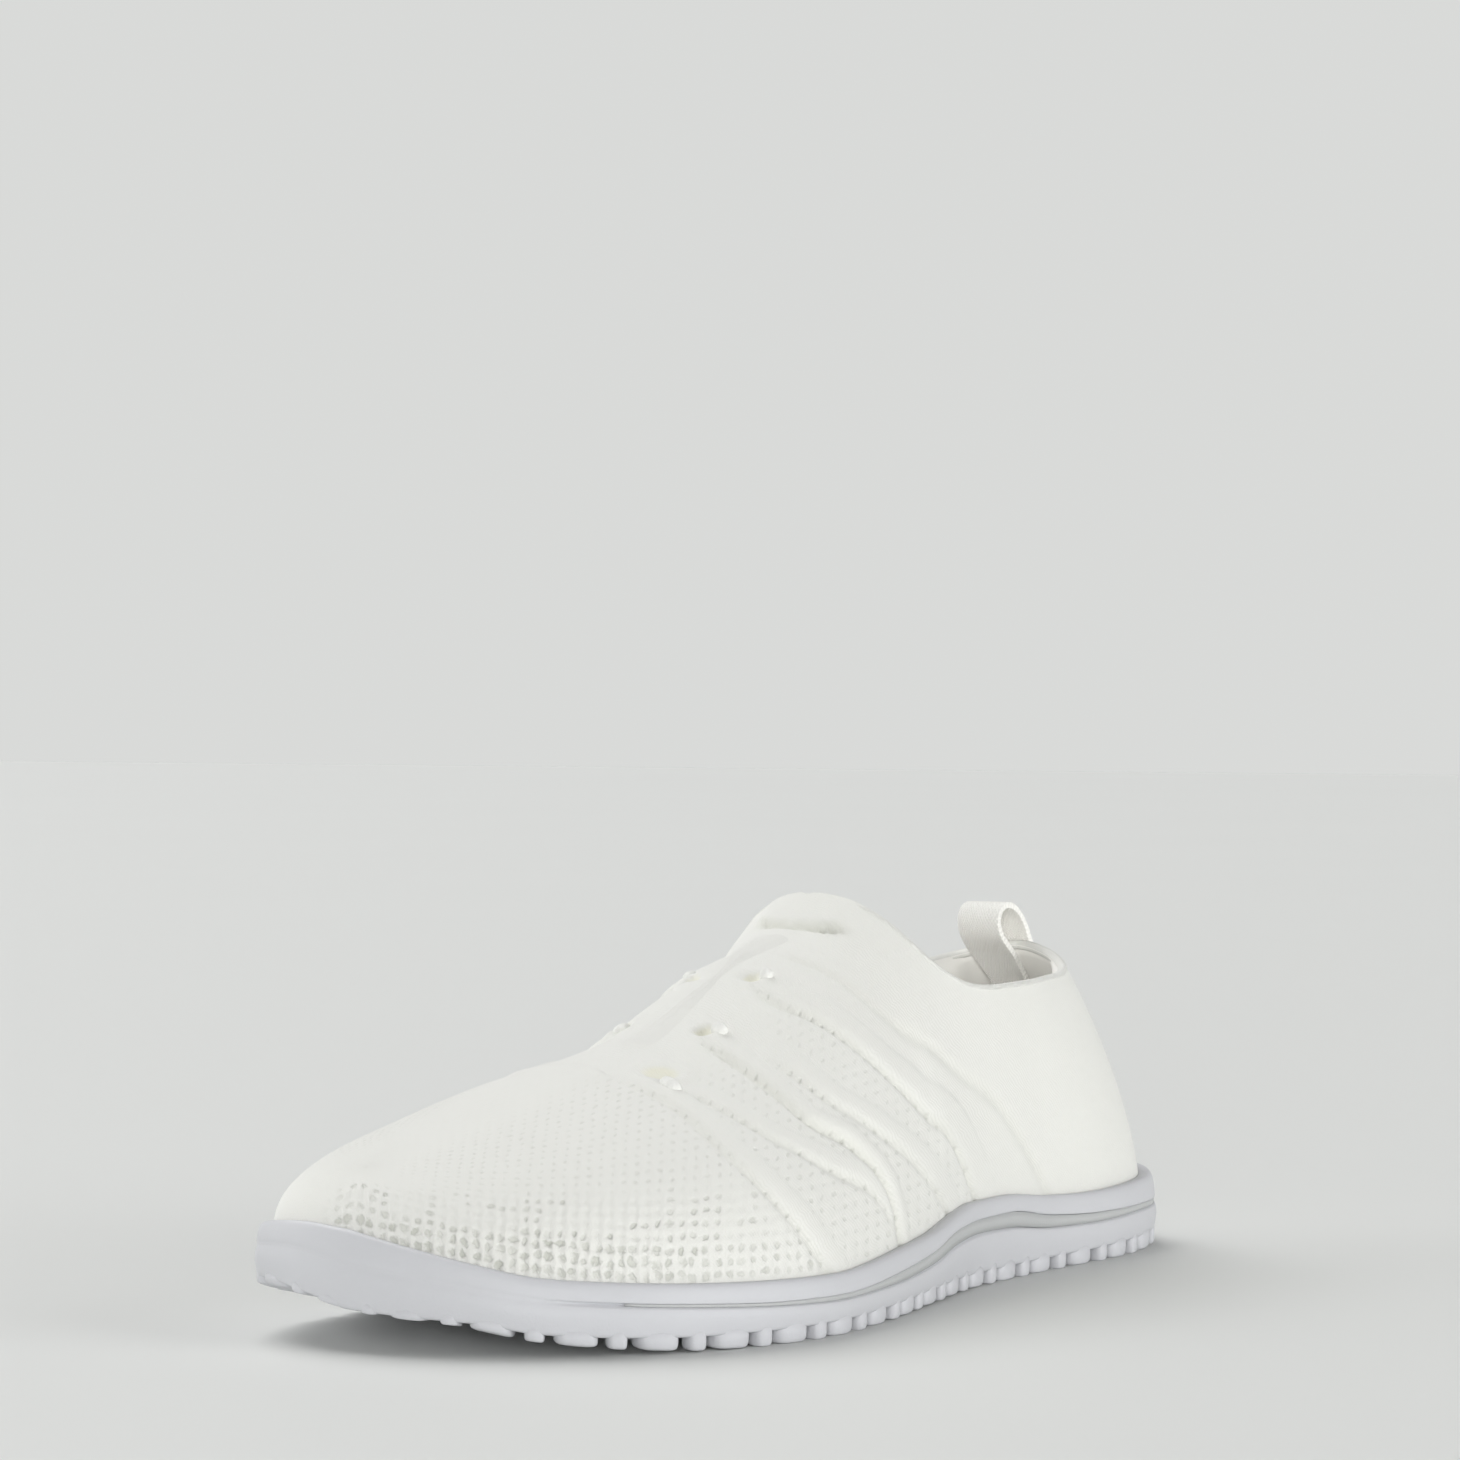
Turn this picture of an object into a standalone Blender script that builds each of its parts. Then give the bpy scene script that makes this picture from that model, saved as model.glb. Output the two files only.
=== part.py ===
"""Low knitted shoe for the left foot: a hollow knit upper standing in a moulded cup sole.

Tables and functions below are in millimetres. A point is (across, along, up): across is positive on
the outer side of the foot, along runs from the heel end to the toe tip. place() turns it into metres.
"""
import math

import bmesh
import bpy
import numpy as np
from mathutils import Matrix, Vector

for old in list(bpy.data.objects):
    bpy.data.objects.remove(old, do_unlink=True)

# Driving sizes
LENGTH = 265.0
WALL = 2.0
GAP = 0.3
RIM = 3.0
GROOVE_DEPTH = 1.4
INSOLE_THICKNESS = 3.0
PANEL_THICKNESS = 1.7
RIB_RAISE = 0.8
TUCK = 0.3
LUG_LARGE = 3.9
LUG_SMALL = 2.0
LUG_SINK = 1.2
LACE_RADIUS = 1.0
LOOP_THICKNESS = 1.4

# Sole outline, a row for each section across: share of the length, outer reach, inner reach
OUTLINE = (
    (0.00, -4.0, 4.0),
    (0.03, 17.0, 22.0),
    (0.08, 28.0, 31.0),
    (0.17, 34.0, 36.0),
    (0.30, 35.0, 36.0),
    (0.42, 38.0, 33.0),
    (0.54, 46.0, 34.0),
    (0.65, 53.0, 38.0),
    (0.75, 56.0, 43.0),
    (0.84, 51.0, 45.0),
    (0.91, 41.0, 43.0),
    (0.97, 22.0, 34.0),
    (1.00, -8.0, 8.0),
)

# Heights of the sole's side, a row for each section:
# share of the way from heel end to toe tip, tread, underside, bed, stripe low, stripe high, rim
SIDE = (
    (0.00, 2.4, 5.2, 8.6, 9.6, 10.6, 18.0),
    (0.06, 1.4, 4.4, 8.2, 9.4, 10.5, 16.8),
    (0.12, 0.5, 3.7, 7.8, 9.2, 10.4, 15.8),
    (0.18, 0.0, 3.2, 7.6, 8.9, 10.3, 15.2),
    (0.24, 0.0, 2.9, 7.4, 8.5, 10.5, 15.0),
    (0.30, 0.0, 2.8, 7.4, 9.0, 11.6, 15.8),
    (0.36, 0.0, 2.8, 7.4, 10.7, 13.9, 17.4),
    (0.41, 0.2, 3.0, 7.4, 11.0, 13.9, 17.4),
    (0.46, 0.4, 3.2, 7.4, 10.2, 13.1, 15.8),
    (0.51, 0.4, 3.2, 7.2, 8.2, 10.6, 14.0),
    (0.57, 0.2, 3.0, 7.0, 7.1, 9.2, 13.1),
    (0.66, 0.0, 2.8, 6.8, 6.7, 7.7, 11.6),
    (0.72, 0.0, 2.8, 6.8, 7.2, 7.9, 11.9),
    (0.78, 0.3, 2.9, 7.0, 8.2, 8.8, 12.5),
    (0.84, 1.5, 3.5, 8.0, 9.4, 9.9, 13.5),
    (0.88, 2.9, 4.3, 9.2, 10.4, 10.8, 14.4),
    (0.92, 5.4, 6.2, 11.6, 12.4, 12.8, 16.8),
    (0.96, 6.3, 7.0, 13.8, 14.6, 15.0, 19.6),
    (1.00, 7.3, 7.9, 15.4, 16.2, 16.6, 22.4),
)
# The big toe side turns up a little more: share of the way, lift
INNER_LIFT = ((0.0, 0.0), (0.70, 0.0), (0.78, 2.6), (0.84, 5.2), (0.88, 6.2), (0.92, 5.4), (0.96, 3.5), (1.0, 0.0))

# Form of the last, a row for each section from the heel round one side to the toe. Behind the collar the crest
# is the closed top of the ankle, which the collar cuts open:
# share of the foot line, crest along, crest across, crest height, fullness low on the side, fullness high, bulge
LAST = (
    (0.000, 66.0, -4.0, 98.0, 0.30, 0.44, 1.2),
    (0.100, 74.0, -4.0, 98.0, 0.27, 0.41, 2.0),
    (0.200, 82.0, -3.0, 97.0, 0.36, 0.47, 2.9),
    (0.280, 91.0, -2.0, 95.0, 0.51, 0.60, 3.9),
    (0.350, 100.0, -1.5, 91.0, 0.55, 0.67, 4.7),
    (0.400, 108.0, -1.0, 86.0, 0.51, 0.69, 5.2),
    (0.452, 117.0, -1.0, 79.5, 0.48, 0.70, 5.4),
    (0.474, 125.0, -1.0, 73.4, 0.47, 0.66, 4.8),
    (0.497, 132.0, 0.0, 70.6, 0.47, 0.61, 4.2),
    (0.538, 146.0, 1.0, 67.4, 0.47, 0.58, 3.2),
    (0.587, 162.0, 1.0, 61.3, 0.48, 0.55, 2.0),
    (0.628, 177.0, 0.0, 54.2, 0.51, 0.55, 2.0),
    (0.673, 191.0, -2.0, 50.3, 0.55, 0.57, 2.0),
    (0.731, 208.0, -5.0, 47.0, 0.60, 0.60, 2.0),
    (0.795, 225.0, -8.0, 42.0, 0.66, 0.62, 2.0),
    (0.859, 240.0, -11.0, 37.5, 0.66, 0.62, 2.0),
    (0.970, 250.8, -13.0, 33.1, 0.57, 0.60, 1.1),
    (1.000, 251.0, -13.0, 33.0, 0.56, 0.60, 1.0),
)
# Collar seen from the side: along, height
COLLAR = (
    (-10.0, 66.4),
    (22.0, 66.4),
    (26.0, 65.9),
    (30.0, 64.7),
    (35.0, 63.2),
    (41.0, 61.9),
    (50.0, 60.9),
    (62.0, 60.5),
    (75.0, 60.2),
    (88.0, 60.1),
    (96.0, 60.4),
    (102.0, 61.3),
    (106.0, 62.8),
    (111.0, 66.0),
    (114.0, 69.8),
    (116.0, 75.0),
    (117.0, 79.5),
)

# Ribs knitted into each side: a row for each height on the last, with the share of the foot line where the
# front edge of each rib runs: rise, rib A, rib B, rib C, rib D, rib E
RIBS = (
    (0.07, 0.674, 0.554, 0.548, 0.445, 0.390),
    (0.20, 0.697, 0.584, 0.562, 0.497, 0.432),
    (0.35, 0.715, 0.640, 0.592, 0.560, 0.487),
    (0.50, 0.723, 0.677, 0.624, 0.598, 0.528),
    (0.65, 0.717, 0.690, 0.628, 0.609, 0.552),
    (0.80, 0.712, 0.694, 0.626, 0.614, 0.569),
)
# Reach of each rib: lowest rise, highest rise, breadth as a share of the foot line
RIB_REACH = (
    (0.10, 0.72, 0.022),
    (0.20, 0.66, 0.018),
    (0.13, 0.78, 0.024),
    (0.16, 0.62, 0.022),
    (0.16, 0.80, 0.022),
)
RIB_STEPS = 8
# Eyelets: side, share, rise, radius
EYELETS = (
    (1, 0.686, 0.815, 2.7),
    (1, 0.618, 0.850, 2.0),
    (1, 0.558, 0.885, 2.0),
    (-1, 0.684, 0.735, 2.7),
    (-1, 0.618, 0.835, 2.0),
    (-1, 0.558, 0.870, 2.0),
)
# Lace runs beside the eyelets: side, share, rise at the panel, share, rise at the rib
LACES = (
    (1, 0.694, 0.830, 0.704, 0.745),
    (1, 0.615, 0.866, 0.618, 0.805),
    (1, 0.556, 0.890, 0.554, 0.835),
    (-1, 0.690, 0.740, 0.696, 0.665),
    (-1, 0.615, 0.850, 0.618, 0.785),
    (-1, 0.556, 0.880, 0.554, 0.820),
)
# Instep panel: share of the foot line, rise of its edge on both sides, lift of its inner edge
PANEL = (
    (0.488, 0.81, 2.6),
    (0.512, 0.84, 1.9),
    (0.538, 0.89, 1.0),
    (0.560, 0.925, 0.3),
    (0.590, 0.915, 0.0),
    (0.618, 0.905, 0.0),
    (0.645, 0.895, 0.0),
    (0.668, 0.905, 0.0),
)
# Pull loop seen from the side, past the top of its outside leg: forward, up, how far it has straightened
LOOP = (
    (1.2, 4.0, 0.6),
    (4.2, 7.6, 1.0),
    (8.4, 9.2, 1.0),
    (12.2, 8.0, 1.0),
    (13.2, 4.6, 1.0),
    (11.0, 1.4, 1.0),
    (7.4, -1.2, 0.7),
)
LOOP_FOOT = 53.0
LOOP_SHARES = (-0.042, -0.029, -0.016, -0.003, 0.010)
UPPER_STEPS = 34
RISE_STEPS = 11
SOLE_STEPS = 34
INSOLE_STEPS = 22
ACROSS_STEPS = 4


def smooth(where, knots, values):
    """Monotone cubic curve through a table's column."""
    knots, values = np.asarray(knots, float), np.asarray(values, float)
    where = np.clip(where, knots[0], knots[-1])
    step = np.diff(knots)
    rate = np.diff(values) / step
    slope = np.zeros(len(knots))
    for i in range(1, len(knots) - 1):
        if rate[i - 1] * rate[i] > 0.0:
            a, b = 2 * step[i] + step[i - 1], step[i] + 2 * step[i - 1]
            slope[i] = (a + b) / (a / rate[i - 1] + b / rate[i])
    slope[0], slope[-1] = rate[0], rate[-1]
    i = np.clip(np.searchsorted(knots, where) - 1, 0, len(step) - 1)
    h = step[i]
    t = (where - knots[i]) / h
    return ((2 * t**3 - 3 * t**2 + 1) * values[i] + (t**3 - 2 * t**2 + t) * h * slope[i]
            + (3 * t**2 - 2 * t**3) * values[i + 1] + (t**3 - t**2) * h * slope[i + 1])


def closed_curve(points, steps):
    """Round curve through a closed list of points, eased by the distance between them."""
    points = np.asarray(points, float)
    count = len(points)
    gap = np.linalg.norm(np.roll(points, -1, 0) - points, axis=1) ** 0.5
    t = np.linspace(0.0, 1.0, steps, endpoint=False)[:, None]
    spans = []
    for i in range(count):
        p0, p1, p2, p3 = (points[(i + k) % count] for k in (-1, 0, 1, 2))
        d0, d1, d2 = (gap[(i + k) % count] for k in (-1, 0, 1))
        m1 = ((p1 - p0) / d0 - (p2 - p0) / (d0 + d1) + (p2 - p1) / d1) * d1
        m2 = ((p2 - p1) / d1 - (p3 - p1) / (d1 + d2) + (p3 - p2) / d2) * d1
        spans.append((2 * t**3 - 3 * t**2 + 1) * p1 + (t**3 - 2 * t**2 + t) * m1
                     + (3 * t**2 - 2 * t**3) * p2 + (t**3 - t**2) * m2)
    return np.concatenate(spans)


def sole_outline():
    """Dense closed outline of the sole: heel end, outer side, toe tip, inner side."""
    outer = [(out, share * LENGTH) for share, out, inn in OUTLINE]
    inner = [(-inn, share * LENGTH) for share, out, inn in OUTLINE[-2:0:-1]]
    return closed_curve(outer + inner, 16)


EDGE = sole_outline()
MIDDLE = (EDGE[:, 0].max() + EDGE[:, 0].min()) / 2


def inset_edge(amount):
    """The sole outline moved inwards."""
    run = np.roll(EDGE, -1, 0) - np.roll(EDGE, 1, 0)
    run /= np.linalg.norm(run, axis=1)[:, None]
    return EDGE + np.stack([-run[:, 1], run[:, 0]], 1) * amount * np.sign(turning())


def turning():
    """Signed area of the outline: which way round it runs."""
    nxt = np.roll(EDGE, -1, 0)
    return np.sum(EDGE[:, 0] * nxt[:, 1] - EDGE[:, 1] * nxt[:, 0])


HALVES = {}


def half_line(side, amount):
    """One side of an inset outline from heel end to toe tip, with its shares of the way."""
    if (side, amount) not in HALVES:
        heel, toe = np.argmin(EDGE[:, 1]), np.argmax(EDGE[:, 1])
        ring = np.roll(inset_edge(amount), -heel, 0)
        toe = (toe - heel) % len(ring)
        line = ring[:toe + 1] if side > 0 else np.concatenate([ring[:1], ring[:toe - 1:-1]])
        far = np.concatenate([[0.0], np.cumsum(np.linalg.norm(np.diff(line, axis=0), axis=1))])
        HALVES[side, amount] = far / far[-1], line
    return HALVES[side, amount]


def half_edge(side, amount, shares):
    """Points at shares of the way from heel end to toe tip along one side of an inset outline."""
    far, line = half_line(side, amount)
    return np.stack([np.interp(shares, far, line[:, k]) for k in (0, 1)], -1)


def side_height(share, column, side=1):
    """Height of one line of the sole's side at a share of the way from heel end to toe tip."""
    rows, lift = np.array(SIDE), np.array(INNER_LIFT)
    height = smooth(np.asarray(share, float), rows[:, 0], rows[:, column])
    return height + (smooth(np.asarray(share, float), lift[:, 0], lift[:, 1]) if side < 0 else 0.0)


def height_inside(x, y, column):
    """Height of one line of the sole's side, carried straight across to a place inside the outline."""
    ends = []
    for side in (1, -1):
        far, line = half_line(side, 0.0)
        share = np.interp(y, line[:, 1], far)
        ends.append((np.interp(share, far, line[:, 0]), side_height(share, column, side)))
    (outer_x, outer_z), (inner_x, inner_z) = ends
    return float(inner_z + (outer_z - inner_z) * np.clip((x - inner_x) / (outer_x - inner_x), 0.0, 1.0))


TREAD, UNDERSIDE, BED, STRIPE_LOW, STRIPE_HIGH, RIM_TOP = range(1, 7)


def last_point(side, share, rise):
    """Points of the last: share of the way from heel to toe, rise from 0 at the foot line to 1 at the crest."""
    share, rise = np.broadcast_arrays(np.asarray(share, float), np.asarray(rise, float))
    rows = np.array(LAST)
    along, across, height, low_full, high_full, bulge = (smooth(share, rows[:, 0], rows[:, k]) for k in range(1, 7))
    ahead, behind = np.minimum(share + 0.01, 1.0), np.maximum(share - 0.01, 0.0)
    fall = ((smooth(ahead, rows[:, 0], rows[:, 3]) - smooth(behind, rows[:, 0], rows[:, 3]))
            / (smooth(ahead, rows[:, 0], rows[:, 1]) - smooth(behind, rows[:, 0], rows[:, 1])))
    spots = half_edge(side, RIM + GAP, share)
    foot = np.stack([spots[..., 0], spots[..., 1], side_height(share, BED, side) + GAP], -1)
    crest = np.stack([across, along, height], -1)
    out = (foot - crest) * (1.0, 1.0, 0.0)
    swell = out / np.linalg.norm(out, axis=-1)[..., None] * bulge[..., None]
    low_handle = foot + swell
    low_handle[..., 2] += (height - foot[..., 2]) * low_full
    foot = foot - swell * TUCK
    high_handle = crest + out * high_full[..., None]
    high_handle[..., 2] += out[..., 1] * high_full * fall
    b = rise[..., None]
    a = 1.0 - b
    return a**3 * foot + 3 * a * a * b * low_handle + 3 * a * b * b * high_handle + b**3 * crest


def upper_point(side, share, rise, offset=0.0):
    """Points of the upper's outer face, moved out from it by an offset."""
    share, rise = np.broadcast_arrays(np.asarray(share, float), np.asarray(rise, float))
    step = 0.004
    ahead, behind = np.minimum(share + step, 1.0), np.maximum(share - step, 0.0)
    high, low = np.minimum(rise + step, 1.0), np.maximum(rise - step, 0.0)
    along = last_point(side, ahead, rise) - last_point(side, behind, rise)
    up = last_point(side, share, high) - last_point(side, share, low)
    normal = np.cross(along, up) * side
    normal /= np.linalg.norm(normal, axis=-1)[..., None]
    return last_point(side, share, rise) + normal * np.asarray(offset, float)[..., None]


def place(point):
    """Millimetres of the tables to metres of the scene, toe towards -Y."""
    return ((point[0] - MIDDLE) * 0.001, (LENGTH / 2 - point[1]) * 0.001, point[2] * 0.001)


def material(name, colour, roughness):
    made = bpy.data.materials.new(name)
    made.use_nodes = True
    shader = made.node_tree.nodes["Principled BSDF"]
    shader.inputs["Base Color"].default_value = (*colour, 1.0)
    shader.inputs["Roughness"].default_value = roughness
    shader.inputs["Metallic"].default_value = 0.0
    return made


def finish(name, mesh, made):
    """Close a bmesh into a named object."""
    bmesh.ops.recalc_face_normals(mesh, faces=mesh.faces)
    data = bpy.data.meshes.new(name)
    mesh.to_mesh(data)
    mesh.free()
    made_object = bpy.data.objects.new(name, data)
    bpy.context.collection.objects.link(made_object)
    if made:
        data.materials.append(made)
    return made_object


def tool(made_object):
    """Keep a cutter or joined tool out of the picture."""
    made_object.hide_render = True
    made_object.display_type = "WIRE"
    return made_object


def apply_tool(piece, name, operation, tool_object):
    change = piece.modifiers.new(name, "BOOLEAN")
    change.operation = operation
    change.object = tool_object


def ring_faces(mesh, low, high):
    """Quads between two closed rings of vertices."""
    count = len(low)
    for i in range(count):
        mesh.faces.new((low[i], low[(i + 1) % count], high[(i + 1) % count], high[i]))


def fill_across(mesh, ring):
    """Close a ring with strips across the shoe."""
    half = len(ring) // 2
    chords = []
    for k in range(1, half):
        start, end = ring[k], ring[-k]
        inner = [mesh.verts.new(start.co.lerp(end.co, j / ACROSS_STEPS)) for j in range(1, ACROSS_STEPS)]
        chords.append([start, *inner, end])
    for first, second in zip(chords, chords[1:]):
        for j in range(ACROSS_STEPS):
            mesh.faces.new((first[j], first[j + 1], second[j + 1], second[j]))
    for tip, chord in ((ring[0], chords[0]), (ring[half], chords[-1])):
        for j in range(ACROSS_STEPS):
            mesh.faces.new((tip, chord[j], chord[j + 1]))


SHARES = np.linspace(0.0, 1.0, SOLE_STEPS + 1)


def edge_ring(amount, shares=SHARES):
    """Points once round an inset outline: heel end, outer side, toe tip, inner side."""
    return np.concatenate([half_edge(1, amount, shares), half_edge(-1, amount, shares)[-2:0:-1]])


def ring_heights(column, shares=SHARES):
    """Heights of one line of the sole's side at the points of edge_ring."""
    return np.concatenate([side_height(shares, column, 1), side_height(shares, column, -1)[-2:0:-1]])


def groove_depth():
    """The stripe's groove runs out towards the toe."""
    depth = GROOVE_DEPTH * smooth(SHARES, (0.0, 0.84, 0.88, 1.0), (1.0, 1.0, 0.0, 0.0))
    return np.concatenate([depth, depth[-2:0:-1]])


def make_sole(made):
    """Moulded cup: tread nubs, side with a groove for the stripe, rim, inner wall and bed."""
    under, bed, low, high, rim = (ring_heights(c) for c in (UNDERSIDE, BED, STRIPE_LOW, STRIPE_HIGH, RIM_TOP))
    deepest = edge_ring(0.4 + GROOVE_DEPTH)
    depth = (groove_depth() / GROOVE_DEPTH)[:, None]
    lip = edge_ring(0.4)
    groove = lip + (deepest - lip) * depth
    profile = (
        (edge_ring(1.8), under),
        (edge_ring(0.6), under + 0.7),
        (edge_ring(0.0), (under + low) / 2 + 0.6),
        (edge_ring(0.3), low - 0.3),
        (groove, low),
        (groove, high),
        (lip, high + 0.3),
        (edge_ring(0.9), rim - 0.8),
        (edge_ring(1.5), rim),
        (edge_ring(RIM - 0.3), rim),
        (edge_ring(RIM), bed),
    )
    mesh = bmesh.new()
    rings = []
    for spots, heights in profile:
        rings.append([mesh.verts.new(place((x, y, z))) for (x, y), z in zip(spots, heights)])
    for lower, upper in zip(rings, rings[1:]):
        ring_faces(mesh, lower, upper)
    fill_across(mesh, rings[0])
    fill_across(mesh, rings[-1])
    sole = finish("sole", mesh, made)
    apply_tool(sole, "nubs", "UNION", make_nubs())
    return sole


def nub_spots():
    """Places and radii of the nubs: a row flush with the edge, large and small by turns, then rows inside it."""
    spots = []
    for amount, pitch, radii in ((0.5, 7.4, (LUG_LARGE, LUG_SMALL)), (14.0, 16.0, (LUG_LARGE,)),
                                 (28.0, 16.0, (LUG_LARGE,))):
        rings = {radius: inset_edge(amount + radius * 1.08) for radius in radii}
        far, last = pitch, EDGE[0]
        turn = 0
        for step in range(len(EDGE)):
            far += np.linalg.norm(EDGE[step] - last)
            last = EDGE[step]
            radius = radii[turn % len(radii)]
            spot = rings[radius][step]
            good = np.min(np.linalg.norm(EDGE - spot, axis=1)) > amount + radius * 1.08 - 1.0
            clear = all(np.hypot(spot[0] - x, spot[1] - y) > radius + r + 1.3 for x, y, r in spots)
            if good and far >= pitch and clear:
                spots.append((spot[0], spot[1], radius))
                far = 0.0
                turn += 1
    return spots


def make_nubs():
    """All the tread nubs as one hidden tool for the sole."""
    mesh = bmesh.new()
    for x, y, radius in nub_spots():
        low, high = height_inside(x, y, TREAD), height_inside(x, y, UNDERSIDE) + LUG_SINK
        sides = 6 if radius > LUG_SMALL else 5
        nub = bmesh.ops.create_cone(mesh, cap_ends=True, segments=sides, radius1=radius * 0.00078,
                                    radius2=radius * 0.00108, depth=(high - low) * 0.001)
        bmesh.ops.translate(mesh, verts=nub["verts"], vec=place((x, y, (low + high) / 2)))
    return tool(finish("nub_tool", mesh, None))


def make_stripe(made):
    """Inlay that fills the groove from the inner ball round the heel to the outer ball."""
    shares = np.linspace(0.0, 0.832, 27)
    mesh = bmesh.new()
    sections = []
    for side, order in ((-1, shares[::-1]), (1, shares[1:])):
        low, high = side_height(order, STRIPE_LOW, side) + 0.05, side_height(order, STRIPE_HIGH, side) - 0.05
        face, back = half_edge(side, 0.75, order), half_edge(side, 0.4 + GROOVE_DEPTH - GAP, order)
        for i in range(len(order)):
            corners = ((*face[i], low[i]), (*face[i], high[i]), (*back[i], high[i]), (*back[i], low[i]))
            sections.append([mesh.verts.new(place(corner)) for corner in corners])
    for first, second in zip(sections, sections[1:]):
        ring_faces(mesh, first, second)
    mesh.faces.new(sections[0])
    mesh.faces.new(sections[-1])
    return finish("sole_stripe", mesh, made)


def make_insole(made):
    """Thin bed liner inside the upper's foot."""
    mesh = bmesh.new()
    shares = np.linspace(0.0, 1.0, INSOLE_STEPS + 1)
    ring = edge_ring(RIM + GAP + WALL + 2.2, shares)
    rings = []
    for lift in (GAP, GAP + INSOLE_THICKNESS):
        heights = ring_heights(BED, shares) + lift
        rings.append([mesh.verts.new(place((x, y, z))) for (x, y), z in zip(ring, heights)])
    ring_faces(mesh, rings[0], rings[1])
    fill_across(mesh, rings[0])
    fill_across(mesh, rings[1])
    return finish("insole", mesh, made)


def make_collar_cutter():
    """Block above the collar line, straight across the shoe."""
    mesh = bmesh.new()
    line = [*COLLAR, (COLLAR[-1][0] + 0.4, 130.0), (COLLAR[0][0], 130.0)]
    sides = [[mesh.verts.new(place((x, along, up))) for along, up in line] for x in (-60.0, 60.0)]
    ring_faces(mesh, *sides)
    mesh.faces.new(sides[0])
    mesh.faces.new(sides[1])
    return tool(finish("collar_tool", mesh, None))


def make_eyelet_cutter():
    """Round pins through the wall at the eyelets."""
    mesh = bmesh.new()
    for side, share, rise, radius in EYELETS:
        inner, outer = (np.array(place(upper_point(side, share, rise, k))) for k in (-WALL - 1.5, 1.5))
        axis = Vector(outer - inner)
        turn = Vector((0.0, 0.0, 1.0)).rotation_difference(axis).to_matrix().to_4x4()
        spot = Matrix.Translation(Vector((inner + outer) / 2)) @ turn
        bmesh.ops.create_cone(mesh, cap_ends=True, segments=10, radius1=radius * 0.001,
                              radius2=radius * 0.001, depth=axis.length, matrix=spot)
    return tool(finish("eyelet_tool", mesh, None))


def rib_section(side, front, breadth, rise, raised):
    """Six corners round a rib: its sloped edges and face, then its root inside the wall."""
    shares = [front - breadth * k for k in (0.0, 0.18, 0.82, 1.0, 1.0, 0.0)]
    offsets = [-0.35, raised, raised, -0.35, -1.2, -1.2]
    return [place(upper_point(side, share, rise, lift)) for share, lift in zip(shares, offsets)]


def make_ribs():
    """The ribs of both sides, cut from the upper's own function and rooted in its wall."""
    mesh = bmesh.new()
    rises = np.array(RIBS)[:, 0]
    for side in (1, -1):
        for number, (lowest, highest, breadth) in enumerate(RIB_REACH, 1):
            rings = []
            for step in range(RIB_STEPS + 1):
                rise = lowest + (highest - lowest) * step / RIB_STEPS
                front = smooth(rise, rises, np.array(RIBS)[:, number])
                raised = -0.3 if step in (0, RIB_STEPS) else RIB_RAISE
                rings.append([mesh.verts.new(c) for c in rib_section(side, front, breadth, rise, raised)])
            for first, second in zip(rings, rings[1:]):
                ring_faces(mesh, first, second)
            mesh.faces.new(rings[0])
            mesh.faces.new(rings[-1])
    return tool(finish("rib_tool", mesh, None))


def make_upper(made):
    """Knitted shell: the wall of the last from the foot line up, ribbed, cut open at collar and eyelets."""
    shares = np.linspace(0.0, 1.0, UPPER_STEPS + 1)
    rises = np.linspace(0.0, 1.0, RISE_STEPS + 1)
    mesh = bmesh.new()
    lines = {1: [], -1: []}
    for side in (1, -1):
        for number, share in enumerate(shares):
            twin = lines[1][number] if side < 0 else None
            if twin and number in (0, UPPER_STEPS):
                lines[side].append(twin)
                continue
            line = [mesh.verts.new(place(p)) for p in last_point(side, share, rises[:-1])]
            line.append(twin[-1] if twin else mesh.verts.new(place(last_point(side, share, 1.0))))
            lines[side].append(line)
    for side in (1, -1):
        for first, second in zip(lines[side], lines[side][1:]):
            for i in range(RISE_STEPS):
                mesh.faces.new((first[i], second[i], second[i + 1], first[i + 1]))
    upper = finish("upper", mesh, made)
    wall = upper.modifiers.new("wall", "SOLIDIFY")
    wall.thickness = WALL * 0.001
    wall.offset = -1.0
    apply_tool(upper, "ribs", "UNION", make_ribs())
    apply_tool(upper, "collar", "DIFFERENCE", make_collar_cutter())
    apply_tool(upper, "eyelets", "DIFFERENCE", make_eyelet_cutter())
    return upper


def make_panel(made):
    """Flap that follows the crest of the instep just clear of the upper."""
    mesh = bmesh.new()
    layers = []
    for lift in (GAP, GAP + PANEL_THICKNESS):
        rows = []
        for share, edge, curl in PANEL:
            outer = [upper_point(1, share, edge + (1.0 - edge) * k / 4, lift + curl * k / 8) for k in range(5)]
            inner = [upper_point(-1, share, edge + (1.0 - edge) * k / 4, lift + curl * (1.0 - k / 8))
                     for k in range(3, -1, -1)]
            rows.append([mesh.verts.new(place(point)) for point in outer + inner])
        layers.append(rows)
    for rows in layers:
        for first, second in zip(rows, rows[1:]):
            for i in range(len(first) - 1):
                mesh.faces.new((first[i], first[i + 1], second[i + 1], second[i]))
    borders = []
    for rows in layers:
        borders.append(rows[0] + [row[-1] for row in rows[1:]] + rows[-1][-2::-1] + [row[0] for row in rows[-2:0:-1]])
    ring_faces(mesh, *borders)
    return finish("instep_panel", mesh, made)


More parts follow.
